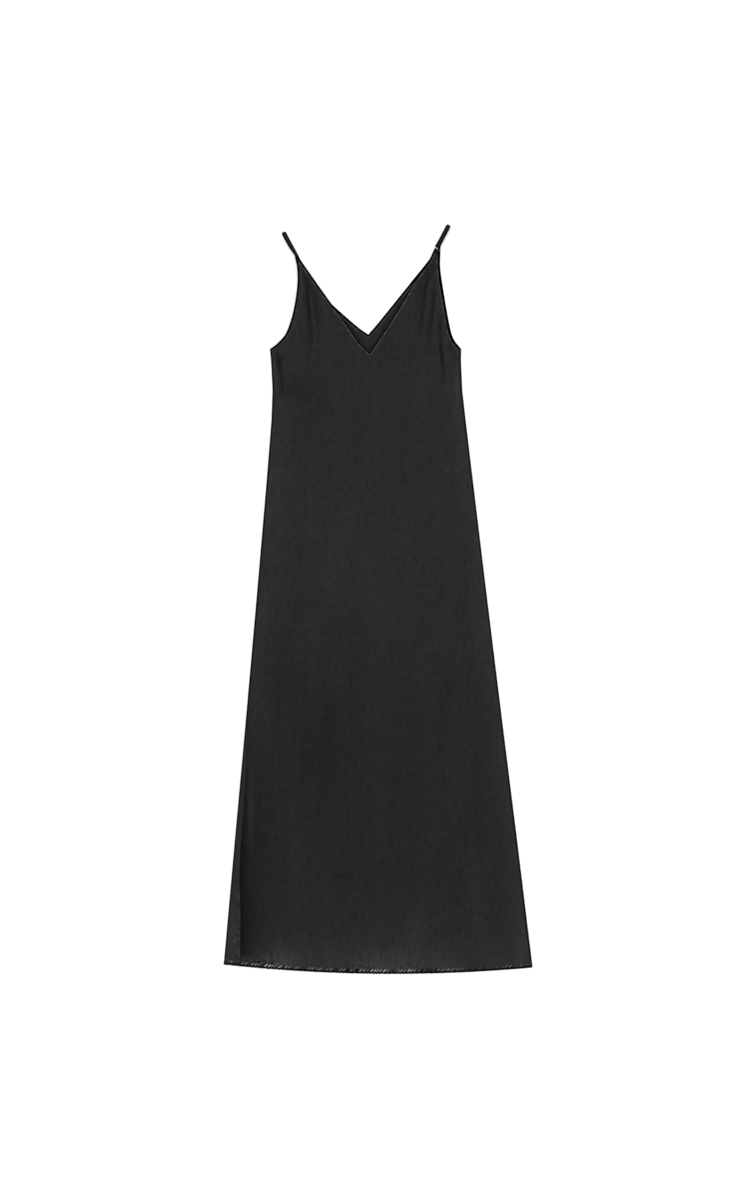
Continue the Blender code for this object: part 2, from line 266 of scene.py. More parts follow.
FRONT_NECK = {
    Side.LEFT: table(
        Spot,
        FRONT_V, (-37.8, 1262.6), (-63.0, 1299.0), (-96.0, 1343.6), (-132.2, 1394.6),
        (-159.8, 1434.6),
    ),
    Side.RIGHT: table(
        Spot,
        FRONT_V, (8.6, 1279.6), (42.2, 1331.6), (70.4, 1381.0), (98.0, 1420.0), (113.2, 1451.4),
    ),
}
BACK_V = (-19.6, 1278.6)
BACK_NECK = {
    Side.LEFT: table(
        Spot,
        BACK_V, (-42.2, 1294.8), (-93.2, 1339.8), (-125.0, 1373.0), (-141.0, 1396.0),
        (-155.4, 1426.0),
    ),
    Side.RIGHT: table(
        Spot, BACK_V, (4.2, 1306.6), (62.2, 1378.6), (100.8, 1426.6), (111.6, 1443.6)
    ),
}
HEM_LOW_ACROSS = 30.0
HEM_END_RISE = 18.6
HEM_END_REACH = 339.2
HEM_CURVE = HEM_END_RISE / HEM_END_REACH**2
HEM_CORNER_UP = 16.0
FRONT_HEM_RISE = 3.0
TURN_HEM_RISE = 4.5
HEM_FOLD = 7.4
SEAM_TUCK = 2.5
LINE_STEPS = 400

STRAP_PLANS = {
    Side.LEFT: StrapPlan(
        Spot(-189.4, 1483.0),
        Spot(-151.2, 1408.6),
        table(Taper, (22.0, 0.1, 9.0), (36.0, 0.8, 8.4), (45.0, 1.6, 7.4), (53.6, 2.2, 6.2)),
        63.4,
    ),
    Side.RIGHT: StrapPlan(
        Spot(141.4, 1497.2),
        Spot(119.4, 1453.8),
        table(
            Taper,
            (36.0, -0.4, 9.0), (45.0, -0.6, 9.6), (50.1, 0.1, 12.0), (50.8, 2.1, 8.7),
            (51.8, 3.7, 6.4), (53.3, 4.8, 5.6), (54.5, 5.6, 4.5),
        ),
        56.6,
    ),
}

# ---------------------------------------------------------------------------
# Creases, and the painted light and shade on the cloth
# ---------------------------------------------------------------------------

# The satin's tone carries painted light and shade: 1 where it is plain, at most FULL_TONE at a
# painted highlight. The cloth loses EDGE_SHADE of its tone at a dark outline of painted shade.
FULL_TONE = 30.0
DARK_TONE = 0.03
EDGE_SHADE = 0.97
NARROW_CREASE = 24.0
DRAWN_LEAST = 0.07
DRAWN_MOST = 1.15

FRONT_CREASES = table(
    Crease,
    # long soft folds down the skirt
    (-252.0, 60.0, -186.0, 900.0, 34.0, 1.3, 3.0, 0.2),
    (-168.0, -60.0, -128.0, 760.0, 42.0, 1.8, -5.0, -0.2),
    (-84.0, 120.0, -64.0, 1080.0, 38.0, 1.0, 5.0, 0.15),
    (18.0, -80.0, -2.0, 640.0, 52.0, 1.7, -4.0, 0.1),
    (112.0, 40.0, 62.0, 980.0, 40.0, 1.1, 6.0, -0.15),
    (214.0, -60.0, 140.0, 720.0, 40.0, 1.8, -4.0, 0.2),
    (268.0, 150.0, 176.0, 1010.0, 26.0, 1.0, 3.0, 0.1),
    # short folds of the bodice, from the straps and the underarms
    (-122.0, 1120.0, -148.0, 1425.0, 19.0, 0.7, 3.0, -0.2),
    (-133.5, 1236.0, -157.0, 1440.0, 8.0, -1.3, 6.5, 0.1),
    (-115.0, 1256.0, -147.0, 1406.0, 7.0, -0.75, 5.0, 0.0),
    (-145.0, 1240.0, -159.5, 1416.0, 7.0, 0.5, 4.0, 0.2),
    (-124.0, 1262.0, -150.0, 1400.0, 5.0, 0.35, 3.0, 0.0),
    (-106.0, 1290.0, -136.0, 1392.0, 5.0, -0.3, 2.0, 0.0),
    (-184.0, 1080.0, -192.0, 1268.0, 18.0, 0.7, -2.0, 0.1),
    (-190.0, 1134.0, -203.5, 1262.0, 9.0, -1.35, 2.0, 0.0),
    (-182.0, 1150.0, -206.0, 1240.0, 5.0, -0.4, 0.0, 0.0),
    (-190.0, 1140.0, -156.0, 1196.0, 17.0, -0.3, 0.0, 0.0),
    (88.0, 1060.0, 112.0, 1430.0, 20.0, 0.7, -3.0, 0.2),
    (82.0, 1258.0, 104.0, 1410.0, 8.0, -0.9, -2.0, 0.0),
    (101.0, 1240.0, 114.5, 1378.0, 8.0, -1.15, -1.0, 0.0),
    (114.0, 1282.0, 119.0, 1426.0, 6.0, 0.8, 1.0, 0.1),
    (94.0, 1280.0, 109.0, 1396.0, 5.0, 0.4, 0.0, 0.0),
    (70.0, 1290.0, 92.0, 1398.0, 6.0, -0.35, -1.0, 0.0),
    (133.0, 1164.0, 121.0, 1318.0, 7.0, -1.4, 0.0, 0.0),
    (121.0, 1170.0, 120.0, 1290.0, 6.0, 0.4, 0.0, 0.0),
    (141.0, 1120.0, 137.0, 1292.0, 14.0, 0.7, 2.0, -0.1),
)
# Patches of painted light and painted shade on the front.
FRONT_PAINTED_LIGHT = table(
    PaintedLight,
    (-20.0, 380.0, 300.0, 300.0, -0.20), (-112.0, 470.0, 62.0, 130.0, -0.14),
    (-205.0, 960.0, 34.0, 130.0, 0.14), (140.0, 900.0, 60.0, 160.0, 0.06),
    (-200.0, 16.0, 58.0, 32.0, 0.85), (28.0, -2.0, 88.0, 36.0, 0.95),
    (288.0, 40.0, 26.0, 52.0, 0.42), (-10.0, 20.0, 280.0, 46.0, 0.30),
    (130.0, 4.0, 34.0, 34.0, 0.26), (-166.0, 1166.0, 25.0, 16.0, -0.22),
    (-208.5, 1207.0, 3.5, 30.0, 0.45), (144.0, 1258.0, 6.0, 16.0, -0.42),
    (157.5, 1165.0, 4.0, 55.0, 0.35), (-142.0, 1330.0, 10.0, 90.0, -0.12),
    (93.0, 1335.0, 12.0, 70.0, -0.10), (-230.0, 330.0, 22.0, 120.0, -0.12),
    (-255.5, 330.0, 4.5, 62.0, 0.6), (-238.0, 320.0, 7.0, 70.0, -0.10),
    (76.0, 84.0, 26.0, 42.0, 0.30), (108.0, 1412.0, 26.0, 60.0, -0.32),
    (-206.0, 1122.0, 16.0, 32.0, -0.24), (-117.0, 1160.0, 30.0, 90.0, -0.13),
    (-128.0, 1322.0, 16.0, 40.0, -0.15), (34.0, 1243.0, 28.0, 26.0, -0.13),
    (0.0, 780.0, 60.0, 130.0, 0.12), (-112.0, 850.0, 34.0, 110.0, 0.11),
    (166.0, 1018.0, 18.0, 50.0, 0.15), (-228.0, 828.0, 14.0, 36.0, -0.18),
    (-216.0, 738.0, 20.0, 36.0, 0.14), (194.0, 660.0, 22.0, 64.0, 0.14),
    (186.0, 905.0, 14.0, 44.0, -0.13), (-198.0, 590.0, 40.0, 56.0, -0.11),
    (-150.0, 400.0, 14.0, 240.0, -0.11), (142.0, 590.0, 30.0, 50.0, -0.12),
    (182.0, 300.0, 28.0, 60.0, -0.14), (20.0, 200.0, 130.0, 40.0, -0.08),
    (-236.0, 245.0, 13.0, 80.0, -0.13), (236.0, 26.0, 28.0, 24.0, 0.16),
)
BACK_CREASES = table(
    Crease,
    (-196.0, -40.0, -150.0, 820.0, 44.0, 0.34, 6.0, 0.2),
    (-84.0, 20.0, -70.0, 1040.0, 40.0, 0.28, -5.0, 0.0),
    (40.0, -60.0, 12.0, 760.0, 50.0, 0.36, 4.0, 0.1),
    (150.0, 30.0, 84.0, 1000.0, 40.0, 0.28, -6.0, -0.2),
    (236.0, -40.0, 160.0, 780.0, 36.0, 0.34, 4.0, 0.1),
    (-128.0, 1060.0, -150.0, 1400.0, 18.0, 0.4, 3.0, 0.0),
    (-184.0, 1080.0, -178.0, 1260.0, 16.0, 0.32, 0.0, 0.0),
    (92.0, 1070.0, 116.0, 1420.0, 18.0, 0.4, -3.0, 0.0),
    (138.0, 1080.0, 140.0, 1290.0, 16.0, 0.3, 1.0, 0.0),
    (-14.0, 1120.0, -26.0, 1276.0, 12.0, 0.22, 1.0, 0.0),
)
# Patches of painted light and painted shade on the back.
BACK_PAINTED_LIGHT = table(
    PaintedLight,
    (0.0, 1262.0, 60.0, 40.0, -0.02), (0.0, 400.0, 300.0, 300.0, -0.12),
    (0.0, 20.0, 300.0, 50.0, 0.18),
)
# Painted highlights on the side turn's hem and puckers.
TURN_PAINTED_LIGHT = table(
    PaintedLight,
    (-293.0, 24.0, 2.6, 2.0, 7.0), (-284.5, 22.5, 2.0, 1.6, 1.8), (-300.0, 25.5, 1.8, 1.4, 1.2),
    (-286.0, 66.0, 3.2, 4.0, 0.9), (-288.0, 92.0, 2.6, 5.0, 0.5),
)
# Where along the front hem the stitches draw up the cloth, and how strongly.
HEM_PUCKERS = table(
    Peak,
    (-292.0, 18.0, 0.7), (-219.0, 42.0, 1.0), (-128.0, 34.0, 0.45), (-36.0, 46.0, 0.95),
    (58.0, 70.0, 1.0), (140.0, 40.0, 0.22), (262.0, 24.0, 0.3),
)


# ---------------------------------------------------------------------------
# Shader maths
# ---------------------------------------------------------------------------


class Wire:
    """One output of a shader node, which operators combine with others and with numbers."""

    def __init__(self, graph: "Graph", socket: bpy.types.NodeSocket) -> None:
        """Keeps the graph and the output socket."""
        self.graph = graph
        self.socket = socket

    def _math(self, operation: str, *values: "Wire | float") -> "Wire":
        """Adds a Math node."""
        return self.graph.node("ShaderNodeMath", {"operation": operation}, dict(enumerate(values)))

    def __add__(self, other: "Wire | float") -> "Wire":
        """self + other."""
        return self._math("ADD", self, other)

    def __radd__(self, other: float) -> "Wire":
        """other + self."""
        return self._math("ADD", other, self)

    def __sub__(self, other: "Wire | float") -> "Wire":
        """self - other."""
        return self._math("SUBTRACT", self, other)

    def __rsub__(self, other: float) -> "Wire":
        """other - self."""
        return self._math("SUBTRACT", other, self)

    def __mul__(self, other: "Wire | float") -> "Wire":
        """self times other."""
        return self._math("MULTIPLY", self, other)

    def __rmul__(self, other: float) -> "Wire":
        """other times self."""
        return self._math("MULTIPLY", other, self)

    def __truediv__(self, other: "Wire | float") -> "Wire":
        """self over other."""
        return self._math("DIVIDE", self, other)

    def __rtruediv__(self, other: float) -> "Wire":
        """other over self."""
        return self._math("DIVIDE", other, self)

    def floor(self) -> "Wire":
        """The whole number below."""
        return self._math("FLOOR", self)

    def fraction(self) -> "Wire":
        """What is left above the whole number."""
        return self._math("FRACT", self)

    def sine(self) -> "Wire":
        """Sine of an angle in radians."""
        return self._math("SINE", self)

    def smooth(self, low: float, high: float, start: float = 0.0, stop: float = 1.0) -> "Wire":
        """Start below low, stop above high, with a soft way between them."""
        ends = {0: self, 1: low, 2: high, 3: start, 4: stop}
        return self.graph.node("ShaderNodeMapRange", {"interpolation_type": "SMOOTHSTEP"}, ends)


class Grain(NamedTuple):
    """A noise: its grains to the metre each way, its finer layers and their strength."""

    scale: tuple[float, float, float]
    detail: float
    roughness: float


class Graph:
    """The nodes of one material, or of the surroundings."""

    def __init__(self, owner: bpy.types.ID, shader: str = "Principled BSDF") -> None:
        """Keeps the owner's nodes and its shader.

        Args:
            owner: Material or world that the nodes belong to.
            shader: Name of its own shader node.
        """
        owner.use_nodes = True
        self.owner = owner
        self.tree = owner.node_tree
        self.shader = self.tree.nodes[shader]

    def node(
        self, kind: str, settings: dict[str, Any], values: dict[Any, Any], output: int | str = 0
    ) -> Wire:
        """Adds a node, sets it and then fills its inputs.

        Args:
            kind: Blender's name for the node's type.
            settings: The node's own settings.
            values: Number, colour, vector or Wire for each input, by name or place.
            output: Name or place of the output that is wanted.

        Returns:
            That output.
        """
        made = self.tree.nodes.new(kind)
        for name, value in settings.items():
            setattr(made, name, value)
        for key, value in values.items():
            if isinstance(value, Wire):
                self.tree.links.new(value.socket, made.inputs[key])
            else:
                made.inputs[key].default_value = value
        return Wire(self, made.outputs[output])

    def place(self) -> Wire:
        """Where a point lies on the dress, in metres."""
        return self.node("ShaderNodeTexCoord", {}, {}, "Object")

    def parts(self, vector: Wire) -> list[Wire]:
        """The X, Y and Z of a vector."""
        split = self.node("ShaderNodeSeparateXYZ", {}, {0: vector})
        return [Wire(self, output) for output in split.socket.node.outputs]

    def noise(self, place: Wire, grain: Grain) -> Wire:
        """Noise at a place, about 0.5 in the middle.

        Args:
            place: Point on the cloth.
            grain: The kind of noise.

        Returns:
            The noise's value.
        """
        scaled = {0: place, 1: grain.scale}
        spread = self.node("ShaderNodeVectorMath", {"operation": "MULTIPLY"}, scaled)
        layers = {"Detail": grain.detail, "Roughness": grain.roughness}
        return self.node("ShaderNodeTexNoise", {}, {"Vector": spread, "Scale": 1.0, **layers})

    def own_value(self, name: str) -> Wire:
        """A value that the mesh keeps at each point."""
        return self.node("ShaderNodeAttribute", {"attribute_name": name}, {}, "Fac")

    def tint(self, share: Wire, full: Sequence[float]) -> Wire:
        """A colour that is black at a share of 0 and full at 1."""
        # A Mix node takes its colours at places 6 and 7 and gives the mixed one at place 2.
        ends = {0: share, 6: (0.0, 0.0, 0.0, 1.0), 7: (*full, 1.0)}
        return self.node("ShaderNodeMix", {"data_type": "RGBA"}, ends, 2)

    def bump(self, height: Wire, distance: float, strength: float) -> Wire:
        """A normal pushed about by a height of which 1 stands a distance in metres above 0."""
        values = {"Height": height, "Distance": distance, "Strength": strength}
        return self.node("ShaderNodeBump", {}, values)

    def dress(self, constants: dict[str, Any], links: dict[str, Wire]) -> bpy.types.ID:
        """Fills the shader's inputs.

        Args:
            constants: Inputs that are the same all over.
            links: Inputs that change over the surface.

        Returns:
            The finished material or world.
        """
        for name, value in constants.items():
            self.shader.inputs[name].default_value = value
        for name, wire in links.items():
            self.tree.links.new(wire.socket, self.shader.inputs[name])
        return self.owner


@dataclass(frozen=True)
class SatinFinish:
    """Black satin: long vertical yarns, a low sheen and a slightly uneven face."""

    name: str
    roughness: float
    grain: float
    sheen: float
    gloss: float = 0.08
    colour: tuple[float, float, float] = (0.0137, 0.0137, 0.0137)
    slub: Grain = Grain((170.0, 26.0, 20.0), 2.0, 0.6)
    mottle: Grain = Grain((120.0, 84.0, 40.0), 3.0, 0.75)
    band: Grain = Grain((26.0, 4.5, 8.0), 2.0, 0.5)
    streak: Grain = Grain((230.0, 34.0, 20.0), 1.0, 0.5)
    speckle: Grain = Grain((340.0, 130.0, 20.0), 1.0, 0.5)
    slant: float = math.radians(45.0)
    slub_tone: float = 2.6
    mottle_tone: float = 6.0
    band_tone: float = 1.8
    streak_tone: float = 0.95
    speckle_tone: float = 2.2
    slub_roughness: float = 0.10
    mottle_roughness: float = 0.06
    sheen_roughness: float = 0.4
    sheen_tint: tuple[float, float, float, float] = (0.9, 0.9, 0.9, 1.0)
    yarn: float = 0.00042
    float_length: float = 0.0021
    yarn_shift: float = 0.4
    tie: float = 0.16
    tie_depth: float = 0.65
    weave_depth: float = 0.00003
    slub_depth: float = 0.00018
    mottle_depth: float = 0.3
    relief: float = 0.55

    def weave(self, graph: Graph, place: Wire) -> Wire:
        """Height of the woven face: round yarns that dip where they are tied down.

        Args:
            graph: Graph of the material.
            place: Point on the cloth.

        Returns:
            Height from 0 to 1.
        """
        across, up, _ = graph.parts(place)
        yarns = across * (1.0 / self.yarn)
        crown = (yarns.fraction() * math.pi).sine()
        run = (up * (1.0 / self.float_length) + yarns.floor() * self.yarn_shift).fraction()
        free = run.smooth(0.0, self.tie) * (1.0 - run.smooth(1.0 - self.tie, 1.0))
        return crown * ((1.0 - self.tie_depth) + free * self.tie_depth)

    def build(self) -> bpy.types.Material:
        """The material.

        Returns:
            A material whose colour, roughness and relief vary with the yarns.
        """
        graph = Graph(bpy.data.materials.new(self.name))
        place = graph.place()
        grains = (self.slub, self.mottle, self.band, self.streak)
        slub, mottle, band, streak = (graph.noise(place, grain) - 0.5 for grain in grains)
        turned = {"Vector": place, "Angle": self.slant}
        slanting = graph.node("ShaderNodeVectorRotate", {"rotation_type": "Z_AXIS"}, turned)
        speckle = graph.noise(slanting, self.speckle) - 0.5
        # The mesh's tone carries painted light and shade, and its drawn value adds painted sheen
        # streaks.
        tone = graph.own_value("tone")
        drawn = graph.own_value("drawn")
        uneven = (
            1.0
            + slub * (self.slub_tone * self.grain)
            + mottle * (self.mottle_tone * self.grain)
            + band * (self.band_tone * self.grain)
            + streak * drawn * self.streak_tone
            + speckle * drawn * drawn * drawn * self.speckle_tone
        )
        yarns = self.weave(graph, place) * (self.weave_depth / self.slub_depth)
        height = yarns + slub + mottle * self.mottle_depth
        full = [FULL_TONE * part for part in self.colour]
        rough = self.roughness + slub * self.slub_roughness + mottle * self.mottle_roughness
        return graph.dress(
            {
                "Specular IOR Level": self.gloss,
                "Sheen Weight": self.sheen,
                "Sheen Roughness": self.sheen_roughness,
                "Sheen Tint": self.sheen_tint,
            },
            {
                "Base Color": graph.tint(tone * uneven / FULL_TONE, full),
                "Roughness": rough,
                "Normal": graph.bump(height, self.slub_depth, self.relief),
            },
        )


@dataclass(frozen=True)
class ThreadFinish:
    """Black sewing thread with the twist of its plies."""

    name: str = "black_thread"
    colour: tuple[float, float, float] = (0.02, 0.02, 0.021)
    gloss: float = 0.3
    sheen: float = 0.1
    ply: float = 0.0006
    ply_slant: float = 0.7
    ply_depth: float = 0.00006
    ply_tone: float = 0.4
    roughness: float = 0.52
    ply_roughness: float = 0.12
    relief: float = 0.6

    def build(self) -> bpy.types.Material:
        """The material.

        Returns:
            A thread material with slanting plies.
        """
        graph = Graph(bpy.data.materials.new(self.name))
        across, up, _ = graph.parts(graph.place())
        plies = ((across + up * self.ply_slant) * (TAU / self.ply)).sine() * 0.5 + 0.5
        return graph.dress(
            {"Specular IOR Level": self.gloss, "Sheen Weight": self.sheen},
            {
                "Base Color": graph.tint(1.0 - self.ply_tone + plies * self.ply_tone, self.colour),
                "Roughness": self.roughness + plies * self.ply_roughness,
                "Normal": graph.bump(plies, self.ply_depth, self.relief),
            },
        )


@dataclass(frozen=True)
class FloorFinish:
    """Plain pale floor with a barely uneven face."""

    name: str = "pale_floor"
    colour: tuple[float, float, float] = (0.8, 0.8, 0.8)
    gloss: float = 0.1
    cloud: Grain = Grain((1.5, 1.5, 1.5), 2.0, 0.5)
    cloud_tone: float = 0.03
    roughness: float = 0.85
    cloud_roughness: float = 0.05

    def build(self) -> bpy.types.Material:
        """The material.

        Returns:
            A matt near-white material.
        """
        graph = Graph(bpy.data.materials.new(self.name))
        cloud = graph.noise(graph.place(), self.cloud)
        tone = 1.0 - self.cloud_tone + cloud * self.cloud_tone
        return graph.dress(
            {"Specular IOR Level": self.gloss},
            {
                "Base Color": graph.tint(tone, self.colour),
                "Roughness": self.roughness + cloud * self.cloud_roughness,
            },
        )


# ---------------------------------------------------------------------------
# Lines and the outline
# ---------------------------------------------------------------------------


def blend(start: Array, stop: Array | float, share: Array) -> Array:
    """Start where the share is 0, stop where it is 1."""
    return start * (1.0 - share) + stop * share


def smooth_curve(spots: Sequence[Spot], steps: int = 16) -> Array:
    """Many points of a smooth curve through the spots.

    Args:
        spots: Points that the curve passes through.
        steps: Points between two spots.

    Returns:
        Points, one to a row.
    """
    knots = np.array(spots, float)
    ends = np.vstack([2 * knots[0] - knots[1], knots, 2 * knots[-1] - knots[-2]])
    share = np.linspace(0.0, 1.0, steps, endpoint=False)[:, None]
    runs = []
    for first, start, stop, last in zip(ends, ends[1:], ends[2:], ends[3:]):
        runs.append(
            (2 * share**3 - 3 * share**2 + 1) * start
            + (share**3 - 2 * share**2 + share) * (stop - first) / 2
            + (3 * share**2 - 2 * share**3) * stop
            + (share**3 - share**2) * (last - start) / 2
        )
    return np.vstack([*runs, knots[-1:]])


def lengths(line: Array) -> Array:
    """Distance along a line to each of its points."""
    return np.concatenate([[0.0], np.cumsum(np.linalg.norm(np.diff(line, axis=0), axis=1))])


def points_at(line: Array, distances: Array) -> Array:
    """Points of a flat line at distances along it."""
    length = lengths(line)
    return np.stack([np.interp(distances, length, line[:, axis]) for axis in (0, 1)], axis=1)


def spaced(line: Array, count: int) -> Array:
    """Points that part a flat line into as many steps of one length."""
    return points_at(line, np.linspace(0.0, lengths(line)[-1], count + 1))


def moved_in(line: Array, distance: float) -> Array:
    """The line moved to its right, with mitred corners.

    Args:
        line: Points of a flat line.
        distance: How far it moves.

    Returns:
        The moved points.
    """
    run = np.diff(line, axis=0)
    normal = np.stack([run[:, 1], -run[:, 0]], axis=1)
    normal /= np.linalg.norm(normal, axis=1)[:, None]
    before = np.vstack([normal[:1], normal])
    after = np.vstack([normal, normal[-1:]])
    middle = (before + after) / (1.0 + (before * after).sum(axis=1))[:, None]
    return line + middle * distance


def depth_in(line: Array, across: Array, up: Array) -> Array:
    """How far points lie to the right of a line, seen from above, and below zero to its left.

    Args:
        line: Points of the line.
        across: Across of each point.
        up: Up of each point.

    Returns:
        The distances.
    """
    spots = np.stack([across, up], axis=-1)
    nearest = np.full(across.shape, np.inf)
    depth = np.zeros(across.shape)
    for start, stop in zip(line, line[1:]):
        run = stop - start
        share = np.clip(((spots - start) @ run) / (run @ run), 0.0, 1.0)
        gap = spots - start - share[..., None] * run
        away = np.linalg.norm(gap, axis=-1)
        right = np.sign(gap[..., 0] * run[1] - gap[..., 1] * run[0])
        depth = np.where(away < nearest, right * away, depth)
        nearest = np.minimum(nearest, away)
    return depth


def side_across(side: Side, up: Array | float) -> Array:
    """Across of the dress's side edge at a height."""
    edge = [getattr(station, side.label) for station in SIDES]
    return np.interp(up, [station.up for station in SIDES], edge)


def turn_width(up: Array | float) -> Array:
    """Width of the back cloth that shows at the left side, at a height."""
    return np.interp(up, [turn.up for turn in SIDE_TURN], [turn.width for turn in SIDE_TURN])


def left_seam(up: Array | float) -> Array:
    """Across of the left side seam, where the side turn ends on the front."""
    return side_across(Side.LEFT, up) + turn_width(up)


def hem_up(across: Array | float) -> Array:
    """Height of the back hem's lower edge."""
    return HEM_CURVE * (np.asarray(across) - HEM_LOW_ACROSS) ** 2


@dataclass(frozen=True)
class Cut:
    """How one panel is cut: its armholes, its neckline and its hem."""

    armholes: dict[Side, tuple[Spot, ...]]
    necks: dict[Side, tuple[Spot, ...]]
    hem_rise: float
    turned: bool
    steps: int = 160

    def neckline(self) -> Array:
        """The whole neckline, from the left strap down to the V and up to the right strap."""
        left, right = (spaced(smooth_curve(self.necks[side]), self.steps) for side in Side)
        return np.vstack([left[::-1], right[1:]])

    def neck_arm(self, side: Side, distance: float) -> Array:
        """One arm of the neckline, moved a distance into the cloth, from the V up."""
        line = moved_in(self.neckline(), distance)
        return line[self.steps::-1] if side is Side.LEFT else line[self.steps:]

    def armhole(self, side: Side, distance: float = 0.0) -> Array:
        """An armhole moved a distance into the cloth, from the underarm up."""
        line = spaced(smooth_curve(self.armholes[side]), self.steps)
        return moved_in(line, distance * side.into_cloth)

    def side_edge(self, side: Side, up: Array | float) -> Array:
        """Where this panel's cloth ends at a side, under the side turn where there is one.

        Args:
            side: Which side.
            up: Heights.

        Returns:
            Across of the cloth's edge.
        """
        across = side_across(side, up)
        if side is Side.LEFT and self.turned:
            across = across + np.maximum(turn_width(up) - SEAM_TUCK, 0.0)
        return across

    def hem_line(self) -> Array:
        """The hem's lower edge, right to left, so that the cloth is on its right.

        Returns:
            Points of the line.
        """
        ends = (self.side_edge(side, HEM_CORNER_UP) for side in (Side.RIGHT, Side.LEFT))
        across = np.linspace(*ends, LINE_STEPS + 1)
        return np.column_stack([across, hem_up(across) + self.hem_rise])


FRONT_CUT = Cut(FRONT_ARMHOLES, FRONT_NECK, FRONT_HEM_RISE, True)
BACK_CUT = Cut(BACK_ARMHOLES, BACK_NECK, 0.0, False)


# ---------------------------------------------------------------------------
# Heights and tones
# ---------------------------------------------------------------------------


def crests(turns: Array) -> Array:
    """1 at each whole turn and 0 halfway between two, in round waves."""
    return 0.5 + 0.5 * np.cos(TAU * turns)


def hem_drawn(across: Array) -> Array:
    """How strongly the front hem's stitches draw up the cloth."""
    drawn = sum((pucker.at(across) for pucker in HEM_PUCKERS), DRAWN_LEAST)
    return np.minimum(drawn, DRAWN_MOST)


def painted_light(light_patches: Sequence[PaintedLight], across: Array, up: Array) -> Array:
    """The satin's tone with these patches of painted light and shade, 1 where it is plain."""
    return sum((bloom.at(across, up) for bloom in light_patches), 1.0)


class Slips(NamedTuple):
    """Uneven waves that carry puckers to and fro along a seam: sizes, lengths and number."""

    sizes: Range
    lengths: Range
    count: int

    def along(self, gone: Array, draw: np.random.Generator) -> Array:
        """How far the puckers are carried.

        Args:
            gone: Distances along the seam.
            draw: Source of the waves.

        Returns:
            The way they are carried at each distance.
        """
        return sum(
            draw.uniform(*self.sizes)
            * np.sin(TAU * gone / draw.uniform(*self.lengths) + draw.uniform(0.0, TAU))
            for _ in range(self.count)
        )


@dataclass(frozen=True)
class Relief:
    """Height of a cloth's underside: where it rests, its creases and its fine ripples."""

    rest: float
    creases: tuple[Crease, ...]
    loft: float
    ripple: float
    seed: int
    softness: float = 0.22
    ripple_count: int = 26
    ripple_across: Range = (16.0, 70.0)
    ripple_up: Range = (170.0, 620.0)
    ripple_share: Range = (0.4, 1.0)
    waver: Wave = Wave(0.10, 1.3, 0.2, 2.4)
    swell: Wave = Wave(0.22, 2.1, 0.0, 1.7)
    foot: Fade = Fade(0.0, 0.3)
    top: Fade = Fade(0.0, 0.16)

    def one(self, crease: Crease, order: int, across: Array, up: Array) -> Array:
        """Height that one crease adds.

        Args:
            crease: The crease.
            order: Its place in the table, which sets how it wavers.
            across: Across of each point.
            up: Up of each point.

        Returns:
            The added heights.
        """
        run_across = crease.top_across - crease.foot_across
        run_up = crease.top_up - crease.foot_up
        length = math.hypot(run_across, run_up)
        from_foot = (across - crease.foot_across, up - crease.foot_up)
        along = (from_foot[0] * run_across + from_foot[1] * run_up) / length**2
        aside = (from_foot[0] * run_up - from_foot[1] * run_across) / length
        held = np.clip(along, 0.0, 1.0)
        bow = crease.bow * 4.0 * held * (1.0 - held)
        aside = aside - bow - crease.half_width * self.waver.at(held, order)
        slope = np.where(aside > 0.0, 1.0 - crease.lean, 1.0 + crease.lean)
        near = np.clip(np.abs(aside) / (crease.half_width * slope), 0.0, 1.0)
        ends = self.foot.rise(along) * self.top.rise(1.0 - along)
        return crease.height * crests(near / 2) * ends * (1.0 + self.swell.at(held, order))

    def ripples(self, across: Array, up: Array) -> Array:
        """Faint ripples that run mostly up and down.

        Args:
            across: Across of each point.
            up: Up of each point.

        Returns:
            Heights about zero.
        """
        draw = np.random.default_rng(self.seed)
        total = np.zeros(np.shape(across))
        for _ in range(self.ripple_count):
            wave_across = draw.uniform(*self.ripple_across)
            wave_up = draw.uniform(*self.ripple_up) * draw.choice([-1.0, 1.0])
            phase = draw.uniform(0.0, TAU)
            strength = draw.uniform(*self.ripple_share) * wave_across / self.ripple_across[1]
            total += strength * np.sin(TAU * (across / wave_across + up / wave_up) + phase)
        return total * self.ripple / math.sqrt(self.ripple_count)

    def underside(self, across: Array, up: Array) -> Array:
        """Height of the cloth's underside.

        Args:
            across: Across of each point.
            up: Up of each point.

        Returns:
            Heights from the surface.
        """
        total = np.full(np.shape(across), self.loft)
        for order, crease in enumerate(self.creases):
            total += self.one(crease, order, across, up)
        total += self.ripples(across, up)
        return self.rest + self.softness * np.logaddexp(0.0, total / self.softness)

    def under(self, spots: Array) -> Array:
        """Height of the cloth's underside at points seen from above."""
        return self.underside(spots[:, 0], spots[:, 1])


@dataclass(frozen=True)
class FrontRelief(Relief):
    """The front's height: it comes down to the back at the sides and dips beside the side turn."""

    seam_height: float = 0.55
    seam_fall: Fade = Fade(0.0, 8.0)
    steepness: float = 1.5
    dip_height: float = 1.32
    dip: Fade = Fade(-2.0, 30.0)
    turn_in: Fade = Fade(0.0, 5.0)

    def underside(self, across: Array, up: Array) -> Array:
        """Height of the front's underside.

        Args:
            across: Across of each point.
            up: Up of each point.

        Returns:
            Heights from the surface.
        """
        height = super().underside(across, up)
        turned = self.turn_in.rise(turn_width(up))
        height = blend(height, self.dip_height, self.dip.fall(across - left_seam(up)) * turned)
        for side, share in ((Side.RIGHT, 1.0), (Side.LEFT, 1.0 - turned)):
            away = (across - side_across(side, up)) * side.into_cloth
            down = self.seam_fall.fall(away) ** self.steepness * share
            height = blend(height, self.seam_height, down)
        return height


FRONT_RELIEF = FrontRelief(rest=1.3, creases=FRONT_CREASES, loft=0.55, ripple=0.26, seed=11)
BACK_RELIEF = Relief(
    rest=0.0, creases=BACK_CREASES, loft=0.04, ripple=0.05, seed=23, softness=0.05
)


# ---------------------------------------------------------------------------
# Meshes
# ---------------------------------------------------------------------------


